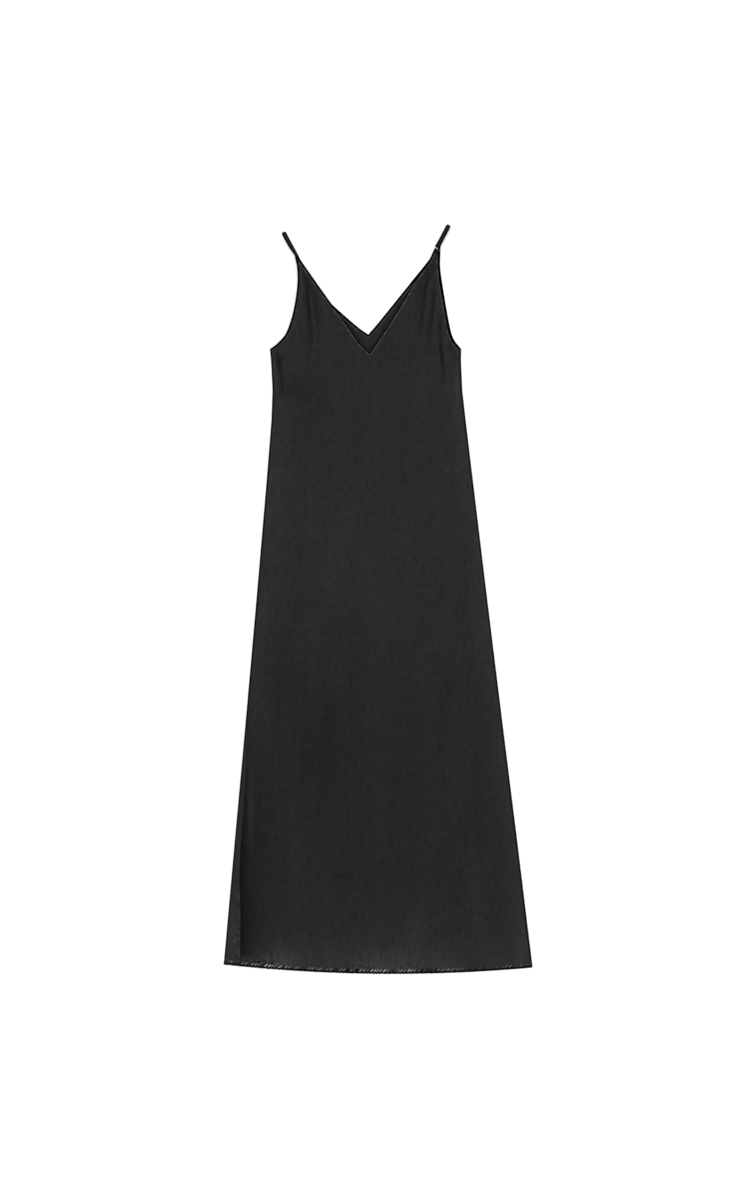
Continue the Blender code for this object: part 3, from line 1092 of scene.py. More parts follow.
def grid_quads(number: Array) -> Array:
    """Faces between the neighbours in a grid of point numbers."""
    corners = [number[:-1, :-1], number[:-1, 1:], number[1:, 1:], number[1:, :-1]]
    return np.stack(corners, axis=-1).reshape(-1, 4)


def rim_quads(quads: Array, count: int) -> Array:
    """Walls from the open edges of a face's quads down to its underside.

    Args:
        quads: Quads of the upper face.
        count: Number of its points, which the underside repeats.

    Returns:
        The walls.
    """
    edges = np.concatenate([quads[:, [corner, (corner + 1) % 4]] for corner in range(4)])
    _, first, uses = np.unique(
        np.sort(edges, axis=1), axis=0, return_index=True, return_counts=True
    )
    rim = edges[first[uses == 1]]
    return np.column_stack([rim[:, ::-1], rim + count])


def tube_faces(rings: int, around: int, start: int = 0) -> list[list[int]]:
    """Faces round a body made of rings, with both its ends closed.

    Args:
        rings: Number of rings.
        around: Points in each ring.
        start: Number of the first point.

    Returns:
        The faces, as lists of point numbers.
    """
    number = np.arange(start, start + rings * around).reshape(rings, around)
    quads = grid_quads(np.column_stack([number, number[:, 0]]))
    return [*quads.tolist(), number[0, ::-1].tolist(), number[-1].tolist()]


def faces_outwards(points: Array, faces: Sequence[Sequence[int]]) -> bool:
    """Whether the faces of a closed body look outwards, by the sign of its volume.

    Args:
        points: Points of the body.
        faces: Faces, as lists of point numbers.

    Returns:
        True where they do.
    """
    fans = [(face[0], *pair) for face in faces for pair in zip(face[1:], face[2:])]
    first, second, third = points[np.array(fans)].transpose(1, 0, 2)
    return bool((first * np.cross(second, third)).sum() > 0.0)


def make_piece(
    name: str, points: Array, faces: Sequence[Sequence[int]], values: dict[str, Array],
    material: bpy.types.Material,
) -> bpy.types.Object:
    """A piece of the dress that rides on its one body.

    Args:
        name: Name of the piece.
        points: Points in millimetres, as across, up and height.
        faces: Faces, as lists of point numbers.
        values: Values that the mesh keeps at each point for its material.
        material: The piece's material.

    Returns:
        The object.
    """
    place = (points - np.array([*MIDDLE, 0.0])) * MM
    mesh = bpy.data.meshes.new(name)
    mesh.from_pydata(place.tolist(), [], faces)
    mesh.shade_smooth()
    mesh.set_sharp_from_angle(angle=SHARP_ANGLE)
    for label, value in values.items():
        kept = mesh.attributes.new(label, "FLOAT", "POINT")
        kept.data.foreach_set("value", value.astype(np.float32))
    mesh.materials.append(material)
    piece = bpy.data.objects.new(name, mesh)
    bpy.context.scene.collection.objects.link(piece)
    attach(piece, "root")
    return piece


class Rings:
    """A closed piece in the making: rows of points, along it or round it, with their tones."""

    def __init__(self) -> None:
        """Starts with no rows."""
        self.points: list[Array] = []
        self.tones: list[Array] = []

    def add(self, spots: Array, heights: Array, tone: Array | float) -> None:
        """Adds a row of points."""
        self.points.append(np.column_stack([spots, heights]))
        self.tones.append(np.broadcast_to(tone, len(spots)))

    def close(
        self, name: str, node: str, material: bpy.types.Material, slot: Slot, along: bool = True
    ) -> bpy.types.Object:
        """The piece, with its faces outwards.

        Args:
            name: Name of the piece.
            node: Solid that it stands for.
            material: The piece's material.
            slot: The piece's finish; not used.
            along: Whether the rows run along the piece, and not round it.

        Returns:
            The object.
        """
        points = np.stack(self.points, axis=int(along))
        tones = np.stack(self.tones, axis=int(along))
        faces = tube_faces(*points.shape[:2])
        points = points.reshape(-1, 3)
        if not faces_outwards(points, faces):
            faces = [face[::-1] for face in faces]
        piece = make_piece(name, points, faces, {"tone": tones.ravel()}, material)
        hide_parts(node)
        return piece


# ---------------------------------------------------------------------------
# Pieces
# ---------------------------------------------------------------------------


@dataclass(frozen=True)
class Panel:
    """A panel of thin cloth on its relief, front or back."""

    name: str
    node: str
    cut: Cut
    relief: Relief
    light_patches: tuple[PaintedLight, ...]
    columns: int
    skirt_rows: int
    arm_rows: int
    wall: float = 0.42
    inset: float = 1.4
    hem_tuck: float = 5.0
    border: float = 9.0
    border_columns: int = 10
    above_hem: Fade = Fade(20.0, 120.0)
    below_arms: Fade = Fade(1160.0, 1240.0)
    side_glow: Peak = Peak(7.0, 20.0, 0.22)
    side_outline_shade: Fade = Fade(3.0, 4.8)
    turn_in: Fade = Fade(0.0, 8.0)

    def low_edge(self, across: Array | float) -> Array:
        """Height at which the cloth starts, inside the hem's fold."""
        return hem_up(across) + self.cut.hem_rise + self.hem_tuck

    def half_grid(self, side: Side) -> Array:
        """Points of one half: rows from hem to strap, columns from the side to the middle.

        Args:
            side: Which half.

        Returns:
            Points as row, column and coordinate.
        """
        arm = self.cut.armhole(side, self.inset)
        neck = self.cut.neck_arm(side, self.inset)
        start, after = arm[:2]
        past = (start[0] - side_across(side, start[1])) / (after[0] - start[0])
        corner = start - past * (after - start)
        up = np.linspace(self.low_edge(side_across(side, 0.0)), corner[1], self.skirt_rows + 1)
        outer = np.column_stack([self.cut.side_edge(side, up), up])
        step = np.linspace(0.0, 1.0, self.skirt_rows + 1)[:, None]
        inner = blend(np.array([0.0, self.low_edge(0.0)]), neck[0], step)
        skirt = blend(outer[:, None], inner[:, None], self.spread(outer, inner))
        dip = self.low_edge(skirt[0, :, 0]) - skirt[0, :, 1]
        skirt[:, :, 1] += dip[None, :] * (1 - step) ** 2
        arm = spaced(np.vstack([outer[-1:], arm]), self.arm_rows)[1:]
        neck = spaced(neck, self.arm_rows)[1:]
        bodice = blend(arm[:, None], neck[:, None], self.spread(arm, neck))
        return np.concatenate([skirt, bodice])

    def spread(self, outer: Array, inner: Array) -> Array:
        """Where the columns of each row stand, closer together beside the side edge.

        Args:
            outer: Outer end of each row.
            inner: Inner end of each row.

        Returns:
            Shares of each row, as row, column and one.
        """
        width = np.linalg.norm(inner - outer, axis=1)[:, None]
        border = np.minimum(self.border, self.border_columns / self.columns * width)
        near = np.linspace(0.0, 1.0, self.border_columns + 1)[None, :-1] * border
        far = np.linspace(0.0, 1.0, self.columns - self.border_columns + 1)[None, :]
        return (np.hstack([near, border + (width - border) * far]) / width)[:, :, None]

    def tone(self, across: Array, up: Array) -> Array:
        """Tone of the panel's cloth, with painted light and shade.

        Args:
            across: Across of each point.
            up: Up of each point.

        Returns:
            The tone, 1 where it is plain.
        """
        tone = painted_light(self.light_patches, across, up)
        skirt = self.above_hem.rise(up) * self.below_arms.fall(up)
        for side in Side:
            away = (across - side_across(side, up)) * side.into_cloth
            bare = self.turn_in.fall(turn_width(up)) if side is Side.LEFT else 1.0
            # Painted sheen near the skirt's sides, and painted shade in a dark outline at the side
            # edges.
            tone += self.side_glow.at(away) * skirt * bare
            tone *= 1.0 - EDGE_SHADE * self.side_outline_shade.fall(away) * bare
        # Painted shade along crease troughs and a painted highlight along ridges.
        for order, crease in enumerate(self.relief.creases):
            tone += crease.contrast.value * self.relief.one(crease, order, across, up)
        return np.clip(tone, DARK_TONE, FULL_TONE)

    def drawn(self, across: Array, up: Array) -> Array:
        """How strongly painted sheen streaks show at each point."""
        return np.zeros(np.shape(across))

    def face(self) -> tuple[Array, Array]:
        """The panel from above, its halves joined down the middle of the skirt.

        Returns:
            Points, and the quads between them.
        """
        left, right = (self.half_grid(side) for side in Side)
        number = np.arange(left[..., 0].size).reshape(left.shape[:2])
        other = number + number.size
        other[:self.skirt_rows + 1, -1] = number[:self.skirt_rows + 1, -1]
        flat = np.concatenate([left.reshape(-1, 2), right.reshape(-1, 2)])
        quads = np.vstack([grid_quads(number), grid_quads(other)[:, ::-1]])
        used, quads = np.unique(quads, return_inverse=True)
        return flat[used], quads.reshape(-1, 4)

    def build(self, material: bpy.types.Material) -> bpy.types.Object:
        """The panel.

        Args:
            material: The satin.

        Returns:
            The object.
        """
        flat, quads = self.face()
        count = len(flat)
        low = self.relief.under(flat)
        points = np.column_stack([np.tile(flat, (2, 1)), np.concatenate([low + self.wall, low])])
        faces = np.vstack([quads, quads[:, ::-1] + count, rim_quads(quads, count)])
        kept = {"tone": self.tone(*flat.T), "drawn": self.drawn(*flat.T)}
        values = {label: np.tile(value, 2) for label, value in kept.items()}
        piece = make_piece(self.name, points, faces.tolist(), values, material)
        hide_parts(self.node)
        return piece


@dataclass(frozen=True)
class FrontPanel(Panel):
    """The front panel, with painted shadow beside the side turn and painted sheen streaks above its
    hem.
    """

    shade: float = 0.83
    shade_reach: float = 30.0
    shade_in: Fade = Fade(18.0, 46.0)
    shade_out: Fade = Fade(250.0, 560.0)
    narrowing: Fade = Fade(170.0, 330.0)
    narrowed: float = 0.6
    arms_from: float = 1230.0
    arm_skip: int = 8
    arm_glow: tuple[Peak, Peak] = (Peak(7.5, 4.5, 0.30), Peak(7.5, 4.5, 0.16))
    least_drawn: float = 0.06
    glow_rise: float = 30.0
    fringe: Peak = Peak(-244.0, 44.0, 0.75)
    fringe_rise: float = 7.0

    def tone(self, across: Array, up: Array) -> Array:
        """Tone of the front, with painted light along the armholes and painted shadow beside the
        side seam.

        Args:
            across: Across of each point.
            up: Up of each point.

        Returns:
            The tone.
        """
        tone = super().tone(across, up)
        near = up > self.arms_from
        for side, glow in zip(Side, self.arm_glow):
            away = depth_in(self.cut.armhole(side)[::self.arm_skip], across[near], up[near])
            tone[near] += glow.at(away * side.into_cloth)
        # Painted shadow that the side turn casts beside the side seam.
        strength = self.shade * self.shade_in.rise(up) * self.shade_out.fall(up)
        reach = self.shade_reach * (1.0 - self.narrowed * self.narrowing.rise(up))
        from_seam = np.maximum(across - left_seam(up), 0.0)
        return np.clip(tone * (1.0 - strength * np.exp(-from_seam / reach)), DARK_TONE, FULL_TONE)

    def drawn(self, across: Array, up: Array) -> Array:
        """How strongly painted sheen streaks show, most of all just above the hem.

        Args:
            across: Across of each point.
            up: Up of each point.

        Returns:
            The strength.
        """
        above = np.maximum(up - hem_up(across) - self.cut.hem_rise - HEM_FOLD, 0.0)
        fringe = self.fringe.at(across) * np.exp(-above / self.fringe_rise)
        return self.least_drawn + hem_drawn(across) * np.exp(-above / self.glow_rise) + fringe


@dataclass(frozen=True)
class BackPanel(Panel):
    """The back panel, with painted shadow where the front's neckline lies over it."""

    neck_from: float = 1200.0
    neck_skip: int = 6
    neck_shade: Peak = Peak(0.0, 7.0, 0.5)

    def tone(self, across: Array, up: Array) -> Array:
        """Tone of the back, with the front's narrow painted shadow on it.

        Args:
            across: Across of each point.
            up: Up of each point.

        Returns:
            The tone.
        """
        tone = super().tone(across, up)
        near = up > self.neck_from
        away = depth_in(FRONT_CUT.neckline()[::self.neck_skip], across[near], up[near])
        tone[near] *= 1.0 - self.neck_shade.at(away)
        return tone


@dataclass(frozen=True)
class RolledEdge:
    """A narrow rolled edge along a neckline or an armhole."""

    name: str
    node: str
    line: Array
    into_cloth: float
    relief: Relief
    height: float
    under: Array | None
    ridge_tone: float
    seed: int
    fade: Range = (16.0, 16.0)
    step: float = 1.3
    # Painted shade on the roll's outer part, then a painted highlight on its ridge that dims behind
    # it.
    dark_bare: float = 3.9
    dark_over: float = 2.0
    over: Fade = Fade(0.8, 3.0)
    ridge: Fade = Fade(0.0, 0.8)
    behind: Fade = Fade(1.5, 2.3)
    behind_shade: float = 0.6
    fleck_pitch: float = 2.4
    fleck_range: Range = (0.55, 1.45)
    waver: float = 1.3
    waver_range: Range = (17.0, 23.0)
    twist_pitch: float = 4.9
    twist_slant: float = 1.4
    twist_height: float = 0.09
    twist_tone: float = 0.14
    stitch_in: float = 4.9
    stitch_rise: float = 0.8
    stitch_free: float = 5.0

    # Distance into the cloth and share of the roll's height, across its face.
    FACE = (
        (0.0, 0.22), (0.2, 0.6), (0.7, 0.84), (1.2, 0.95), (1.8, 1.0), (2.4, 0.98), (3.0, 0.93),
        (3.5, 0.87), (4.0, 0.82), (4.5, 0.8), (5.0, 0.8), (5.6, 0.74), (6.2, 0.56), (6.6, 0.36),
    )
    # Distance into the cloth and height above the relief, back along its underside.
    UNDERSIDE = ((6.3, 0.06), (3.2, 0.0), (0.25, 0.04))

    def dark_width(self, line: Array) -> Array:
        """Width of the painted shade on the outer part, narrower where the roll lies on other
        cloth.

        Args:
            line: Points of the edge.

        Returns:
            Width at each point.
        """
        if self.under is None:
            return np.full(len(line), self.dark_bare)
        depth = depth_in(self.under, line[:, 0], line[:, 1]) * self.into_cloth
        return self.dark_bare + (self.dark_over - self.dark_bare) * self.over.rise(depth)

    def stitch_line(self) -> Array:
        """Line of the stitches, along the roll's ridge.

        Returns:
            Points of the line.
        """
        line = spaced(moved_in(self.line, self.stitch_in * self.into_cloth), LINE_STEPS)
        along = lengths(line)
        first, last = (self.stitch_free if reach else 0.0 for reach in self.fade)
        return line[(along >= first) & (along <= along[-1] - last)]

    def highlight_flecks(self, along: Array, draw: np.random.Generator) -> Array:
        """Strength of the painted highlight along the ridge, faint beside the straps.

        Args:
            along: Distance along the roll.
            draw: Source of the flecks.

        Returns:
            Share at each point.
        """
        count = math.ceil(along[-1] / self.fleck_pitch) + 2
        bright = draw.uniform(*self.fleck_range, count)
        flecks = np.interp(along, np.arange(count) * self.fleck_pitch, bright)
        for reach, away in zip(self.fade, (along, along[-1] - along)):
            if reach:
                flecks = flecks * Fade(0.0, reach).rise(away)
        return flecks

    def top(self, across: Array, up: Array) -> Array:
        """Height of the ridge that the stitches lie on."""
        return self.relief.underside(across, up) + self.height * self.stitch_rise

    def build(self, material: bpy.types.Material) -> bpy.types.Object:
        """The rolled edge.

        Args:
            material: The edge's satin.

        Returns:
            The object.
        """
        line = spaced(self.line, round(lengths(self.line)[-1] / self.step))
        along = lengths(line)
        draw = np.random.default_rng(self.seed)
        bends = TAU * along / draw.uniform(*self.waver_range) + draw.uniform(0.0, TAU)
        slip = along + self.waver * np.sin(bends)
        painted_highlight = (self.ridge_tone - DARK_TONE) * self.highlight_flecks(along, draw)
        dark = self.dark_width(line)
        rings = Rings()
        for distance, rise in self.FACE:
            spot = moved_in(line, distance * self.into_cloth)
            twist = np.sin(TAU * (slip + self.twist_slant * distance) / self.twist_pitch)
            height = self.height * rise * (1.0 + self.twist_height * twist)
            # Painted shade outside, then a painted highlight on the ridge, flecked and waving with
            # the twist.
            past = distance - dark
            bright = self.ridge.rise(past) * (1.0 - self.behind_shade * self.behind.rise(past))
            tone = DARK_TONE + painted_highlight * bright * (1.0 + self.twist_tone * twist)
            rings.add(spot, self.relief.under(spot) + height, tone)
        for distance, rise in self.UNDERSIDE:
            spot = moved_in(line, distance * self.into_cloth)
            rings.add(spot, self.relief.under(spot) + rise, DARK_TONE)
        return rings.close(self.name, self.node, material, Slot.EDGE)


@dataclass(frozen=True)
class TurnedHem:
    """A narrow double-turned hem, drawn up by its stitches into slanting puckers."""

    name: str
    node: str
    cut: Cut
    relief: Relief
    height: float
    drawn: float
    pucker_height: float
    seed: int
    painted_highlight: float
    width: float = HEM_FOLD
    step: float = 0.7
    across_steps: int = 12
    pitch: float = 6.8
    slips: Slips = Slips((0.4, 1.1), (16.0, 60.0), 5)
    slant: float = 0.95
    first_mark: float = 12.0
    spare_marks: int = 40
    mark_range: Range = (0.05, 1.0)
    mark_contrast: float = 1.4
    sharpness: float = 2.2
    scallop: float = 0.6
    trough: float = 0.86
    fold: Fade = Fade(0.1, 0.28)
    body_start: float = 0.06
    body_reach: float = 0.9
    body_round: float = 0.35
    body_fall: float = 0.5
    crest_lean: float = 0.85
    crest_round: float = 1.1
    stitch_in: float = 1.1
    stitch_rise: float = 0.62

    # Distance into the cloth and height above the relief, back along the fold's underside.
    UNDERSIDE = ((HEM_FOLD - 0.4, 0.05), (HEM_FOLD / 2, 0.0), (0.3, 0.05))

    def stitch_line(self) -> Array:
        """Line of the stitches, just inside the fold's upper edge."""
        return moved_in(spaced(self.cut.hem_line(), LINE_STEPS), self.width - self.stitch_in)

    def top(self, across: Array, up: Array) -> Array:
        """Height of the fold where the stitches lie on it."""
        return self.relief.underside(across, up) + self.height * self.stitch_rise

    def section(self, share: float) -> tuple[float, float]:
        """The fold at a share of its width.

        Args:
            share: 0 at the hem's lower edge, 1 at its stitches.

        Returns:
            Share of the fold's height, and share of the puckers' height.
        """
        turn = math.pi * min(self.body_start + self.body_reach * share, 1.0)
        body = math.sin(turn) ** self.body_round * (1.0 - self.body_fall * share**4)
        return body, math.sin(math.pi * share**self.crest_lean) ** self.crest_round

    def build(self, material: bpy.types.Material) -> bpy.types.Object:
        """The hem.

        Args:
            material: The edge's satin.

        Returns:
            The object.
        """
        coarse = self.cut.hem_line()
        line = spaced(coarse, round(lengths(coarse)[-1] / self.step))
        along = lengths(line)
        draw = np.random.default_rng(self.seed)
        slip = along + self.slips.along(along, draw)
        count = round(along[-1] / self.pitch) + self.spare_marks
        marks = draw.uniform(*self.mark_range, count) ** self.mark_contrast
        strength = self.drawn * hem_drawn(line[:, 0])
        # Painted shade where the stitches draw the hem up, and a painted highlight on each pucker's
        # crest.
        plain = 1.0 - self.trough * np.minimum(strength, 1.0)
        wave = np.sin(TAU * slip / self.pitch) * self.scallop * hem_drawn(line[:, 0])
        rings = Rings()
        for share in np.linspace(0.0, 1.0, self.across_steps + 1):
            distance = share * self.width
            spot = moved_in(line, distance)
            spot[:, 1] += wave * (1.0 - share) ** 3
            phase = (slip + self.slant * distance) / self.pitch + self.first_mark
            mark = marks[np.round(phase).astype(int)]
            body, across_fold = self.section(share)
            crest = crests(phase) ** self.sharpness * mark * strength * across_fold
            height = self.height * body + self.pucker_height * crest
            # Painted highlights on the crests, and painted shade along the fold's lower edge.
            tone = DARK_TONE + (plain + self.painted_highlight * crest - DARK_TONE) * self.fold.rise(share)
            rings.add(spot, self.relief.under(spot) + height, tone)
        for distance, rise in self.UNDERSIDE:
            spot = moved_in(line, distance)
            rings.add(spot, self.relief.under(spot) + rise, DARK_TONE)
        return rings.close(self.name, self.node, material, Slot.EDGE)


@dataclass(frozen=True)
class SideTurn:
    """The back cloth that comes round the left side on to the front, up to the side seam."""

    name: str
    node: str
    relief: Relief
    top_up: float = 552.0
    least_width: float = 0.8
    rows: int = 330
    row_crowding: float = 1.15
    across_steps: int = 14
    edge_height: float = 0.3
    clearance: float = 0.32
    lap: Fade = Fade(0.0, 0.2)
    seam_lap: float = 1.0
    crown: float = 1.5
    crown_lean: float = 0.8
    crown_round: float = 0.8
    full_width: float = 14.0
    least_full: float = 0.35
    filling: Fade = Fade(0.8, 9.0)
    hem_band: Fade = Fade(6.4, 7.6)
    hem_height: float = 0.5
    pucker_height: float = 0.34
    pitch: float = 8.6
    slips: Slips = Slips((0.6, 1.6), (14.0, 60.0), 4)
    slant: float = 0.7
    first_mark: float = 8.0
    mark_range: Range = (0.25, 1.0)
    marks: int = 400
    sharpness: int = 2
    pucker_row: Peak = Peak(4.6, 3.4)
    drawn: Fade = Fade(110.0, 240.0)
    seed: int = 5
    plain_tone: float = 1.1
    low_tone: float = 0.3
    low_part: Fade = Fade(60.0, 210.0)
    slope_shade: float = 0.12
    pucker_highlight: float = 2.4
    crease_shade: Peak = Peak(0.8, 0.1, 0.6)
    dark_edge: Fade = Fade(2.4, 4.0)
    seam_line: Fade = Fade(0.2, 1.4)
    seam_shade: float = 0.5
    groove_shade: Peak = Peak(HEM_FOLD, 0.9, 0.5)
    least_tone: float = 0.04
    under_tone: float = 0.2
    stitch_in: float = 3.0
    stitch_from: float = 8.0
    stitch_top: float = 330.0
    stitch_steps: int = 120

    # Share of the width and height above the front, or above the surface at the side.
    UNDERSIDE = ((1.0, 0.3), (0.5, 0.45), (0.04, 0.1))

    @property
    def lowest(self) -> float:
        """Height of the turned cloth's own hem."""
        return float(hem_up(side_across(Side.LEFT, 0.0))) + TURN_HEM_RISE

    def width(self, up: Array) -> Array:
        """Width of the turned cloth at a height."""
        return np.maximum(turn_width(up), self.least_width)

    def arch(self, share: Array | float) -> Array:
        """Round rise over the width, 0 at both edges and 1 near the middle."""
        return np.sin(math.pi * share**self.crown_lean) ** self.crown_round

    def front_under(self, across: Array, up: Array) -> Array:
        """Height of the front's underside below the turned cloth."""
        return self.relief.underside(np.maximum(across, left_seam(up) - self.seam_lap), up)

    def puckers(self, across: Array, up: Array) -> Array:
        """Small puckers that the side seam's stitches draw up.

        Args:
            across: Across of each point.
            up: Up of each point.

        Returns:
            Shares from 0 to 1.
        """
        draw = np.random.default_rng(self.seed)
        slip = up + self.slips.along(up, draw)
        marks = draw.uniform(*self.mark_range, self.marks)
        aside = across - side_across(Side.LEFT, up)
        phase = (slip + self.slant * aside) / self.pitch + self.first_mark
        crest = crests(phase) ** self.sharpness * marks[np.round(phase).astype(int)]
        return crest * self.pucker_row.at(left_seam(up) - across) * self.drawn.fall(up)

    def surface(self, across: Array, up: Array) -> Array:
        """Height of the turned cloth's face.

        Args:
            across: Across of each point.
            up: Up of each point.

        Returns:
            Heights from the surface.
        """
        width = self.width(up)
        share = np.clip((across - side_across(Side.LEFT, up)) / width, 0.0, 1.0)
        lap = self.lap.rise(share)
        level = self.edge_height + (self.front_under(across, up) + self.clearance) * lap
        full = self.least_full + (1.0 - self.least_full) * self.filling.rise(width)
        crown = self.crown * self.arch(share) * full * np.minimum(width / self.full_width, 1.0)
        band = self.hem_height * self.hem_band.fall(up - self.lowest) * lap
        return level + crown + self.pucker_height * self.puckers(across, up) + band

    def tone(self, across: Array, up: Array, share: float) -> Array:
        """Tone of the turned cloth, with painted highlights and painted shade.

        Args:
            across: Across of each point.
            up: Up of each point.
            share: Share of the width at which they lie.

        Returns:
            The tone, 1 where it is plain.
        """
        width = self.width(up)
        plain = self.plain_tone + self.low_tone * self.low_part.fall(up)
        # Painted highlights on hem and puckers; painted shade on the slopes, edge, seam and groove.
        tone = plain * painted_light(TURN_PAINTED_LIGHT, across, up)
        tone -= self.slope_shade * (1.0 - self.arch(share))
        tone += self.pucker_highlight * self.puckers(across, up)
        tone -= self.crease_shade.at(share) * self.drawn.fall(up)
        tone *= 1.0 - EDGE_SHADE * self.dark_edge.fall(width * share)
        tone *= 1.0 - self.seam_shade * self.seam_line.fall(width * (1.0 - share))
        tone *= 1.0 - self.groove_shade.at(up - self.lowest)
        return np.maximum(tone, self.least_tone)

    def stitch_line(self) -> Array:
        """Line of the side seam's stitches, up from the hem."""
        up = np.linspace(self.lowest + self.stitch_from, self.stitch_top, self.stitch_steps)
        return np.column_stack([left_seam(up) - self.stitch_in, up])

    def build(self, material: bpy.types.Material) -> bpy.types.Object:
        """The turned cloth.

        Args:
            material: The turned satin.

        Returns:
            The object.
        """
        steps = np.linspace(0.0, 1.0, self.rows + 1) ** self.row_crowding
        up = self.lowest + (self.top_up - self.lowest) * steps
        outline, width = side_across(Side.LEFT, up), self.width(up)
        rings = Rings()
        for share in np.linspace(0.0, 1.0, self.across_steps + 1):
            across = outline + width * share
            spot = np.column_stack([across, up])
            rings.add(spot, self.surface(across, up), self.tone(across, up, share))
        for share, rise in self.UNDERSIDE:
            across = outline + width * share
            level = self.front_under(across, up) if share > self.lap.high else np.zeros(len(up))
            rings.add(np.column_stack([across, up]), level + rise, self.under_tone)
        return rings.close(self.name, self.node, material, Slot.TURNED)


@dataclass(frozen=True)
class Strap:
    """A thin flat strap, folded over at the shoulder and sewn to the front and the back."""

    side: Side
    width: float = 9.0
    height: float = 1.1
    gap: float = 0.3
    fold_reach: float = 1.2
    fold_steps: int = 15
    flat_from: float = 3.4
    rounding: float = 0.36
    around: int = 28
    step: float = 0.9
    tuck: float = 1.6
    flatness: Range = (0.62, 0.8)
    swells: tuple[tuple[float, float, float], ...] = ((0.05, 7.3, 0.0), (0.04, 3.9, 1.0))
    bulge: float = 0.8
    # Painted shade along the strap's edges and a painted highlight down its middle.
    dark_tone: float = 0.02
    line_tone: float = 1.7
    line: Fade = Fade(0.0, 0.42)

    def route(self) -> tuple[Array, Array, Array]:
        """The strap's route from its front end over the fold to its back end.

        Returns:
            Rows of distance from the fold, sideways, height and width; the fold's place; and the
            direction from the fold to the strap's ends.
        """
        plan = STRAP_PLANS[self.side]
        origin = np.array(plan.fold)
        direction = np.array(plan.aim) - origin
        direction /= np.linalg.norm(direction)
        back_z, front_z = self.height / 2, self.height * 1.5 + self.gap
        plain = np.array([(self.flat_from, 0.0, self.width), *plan.tapers])
        front, back = (
            self.dense(np.vstack([plain, (length + self.tuck, *plain[-1, 1:])]))
            for length in (plain[-1, 0], plan.back_end)
        )
        angles = np.linspace(math.pi / 2, 1.5 * math.pi, self.fold_steps)
        along = self.fold_reach * (1.0 + np.cos(angles))
        height = (front_z + back_z) / 2 + (front_z - back_z) / 2 * np.sin(angles)
        width = self.width * (1.0 - self.rounding * (1.0 - along / self.flat_from) ** 2)
        fold = np.column_stack([along, np.zeros(self.fold_steps), height, width])
        front = np.insert(front[::-1], 2, front_z, axis=1)
        return np.vstack([front, fold, np.insert(back, 2, back_z, axis=1)]), origin, direction

    def dense(self, rows: Array) -> Array:
        """Rows filled in along the strap.

        Args:
            rows: Rows of distance, sideways and width.

        Returns:
            Rows at most about a step apart, the given ones among them.
        """
        count = max(2, round((rows[-1, 0] - rows[0, 0]) / self.step))
        along = np.union1d(np.linspace(rows[0, 0], rows[-1, 0], count), rows[:, 0])
        aside, width = (np.interp(along, rows[:, 0], rows[:, part]) for part in (1, 2))
        return np.column_stack([along, aside, width])

    def build(self, material: bpy.types.Material) -> bpy.types.Object:
        """The strap.

        Args:
            material: The strap's satin.

        Returns:
            The object.
        """
        route, origin, direction = self.route()
        sideways = np.array([-direction[1], direction[0]])
        run = np.gradient(route[:, [0, 2]], axis=0)
        run /= np.linalg.norm(run, axis=1)[:, None]
        turn = np.linspace(0.0, TAU, self.around, endpoint=False)
        aside, rise = (
            0.5 * np.sign(wave) * np.abs(wave) ** power
            for wave, power in zip((np.cos(turn), np.sin(turn)), self.flatness)
        )
        out = np.abs(2 * aside)
        rings = Rings()
        for section, (step_along, step_up), gone in zip(route, run, lengths(route[:, [0, 2]])):
            along, shift, height, width = section
            swell = sum(size * math.sin(TAU * gone / pitch + at) for size, pitch, at in self.swells)
            lift = self.height * rise * (1.0 + self.bulge * out * swell)
            place = (along - step_up * lift)[:, None]
            spots = origin + direction * place + sideways * (shift + aside * width)[:, None]
            # Painted shade at the edges, painted highlight down the middle, waving with the swell.
            tone = self.dark_tone + self.line_tone * self.line.fall(out) * (1.0 + swell)
            rings.add(spots, height + step_along * lift, tone)
        node = f"strap_{self.side.label}"
        return rings.close(f"{node}_satin", node, material, Slot.STRAP, along=False)


@dataclass(frozen=True)
class StitchRow:
    """A row of machine stitches that lie on the cloth."""

    name: str
    line: Array
    surface: Callable[[Array, Array], Array]
    pitch: float
    length: float
    thread: float = 0.2
    lift: float = 0.02
    lean: float = 0.05
    sink: float = 0.6
    aim: float = 0.5
    around: int = 6
    seed: int = 3

    # Share of the stitch's length from its middle, and share of the thread's thickness.
    RINGS = ((-0.5, 0.35), (-0.3, 0.9), (0.0, 1.0), (0.3, 0.9), (0.5, 0.35))

    def build(self, material: bpy.types.Material) -> bpy.types.Object:
        """The stitches, as one piece.

        Args:
            material: The thread.

        Returns:
            The object.
        """
        middles = np.arange(self.pitch / 2, lengths(self.line)[-1], self.pitch)
        spot = points_at(self.line, middles)
        run = points_at(self.line, middles + self.aim) - points_at(self.line, middles - self.aim)
        run /= np.linalg.norm(run, axis=1)[:, None]
        aside = np.stack([-run[:, 1], run[:, 0]], axis=1)
        lean = np.random.default_rng(self.seed).normal(0.0, self.lean, len(middles))[:, None]
        run, aside = run + aside * lean, aside - run * lean
        points = []
        for share, swell in self.RINGS:
            centre = spot + run * (share * self.length)
            height = self.surface(centre[:, 0], centre[:, 1]) + self.lift
            radius = self.thread * swell
            for angle in np.linspace(0.0, TAU, self.around, endpoint=False):
                place = centre + aside * (radius * math.cos(angle))
                rise = radius * (self.sink + math.sin(angle))
                points.append(np.column_stack([place, height + rise]))
        rings, each = len(self.RINGS), len(points)
        starts = range(0, len(middles) * each, each)
        faces = [face for start in starts for face in tube_faces(rings, self.around, start)]
        points = np.stack(points, axis=1).reshape(-1, 3)
        return make_piece(self.name, points, faces, {}, material)


# ---------------------------------------------------------------------------
# Floor, light and camera
# ---------------------------------------------------------------------------


class SoftLight(NamedTuple):
    """One soft light: compass angle it comes from, height in degrees, strength and softness."""

    name: str
    compass: float
    height: float
    strength: float
    spread: float


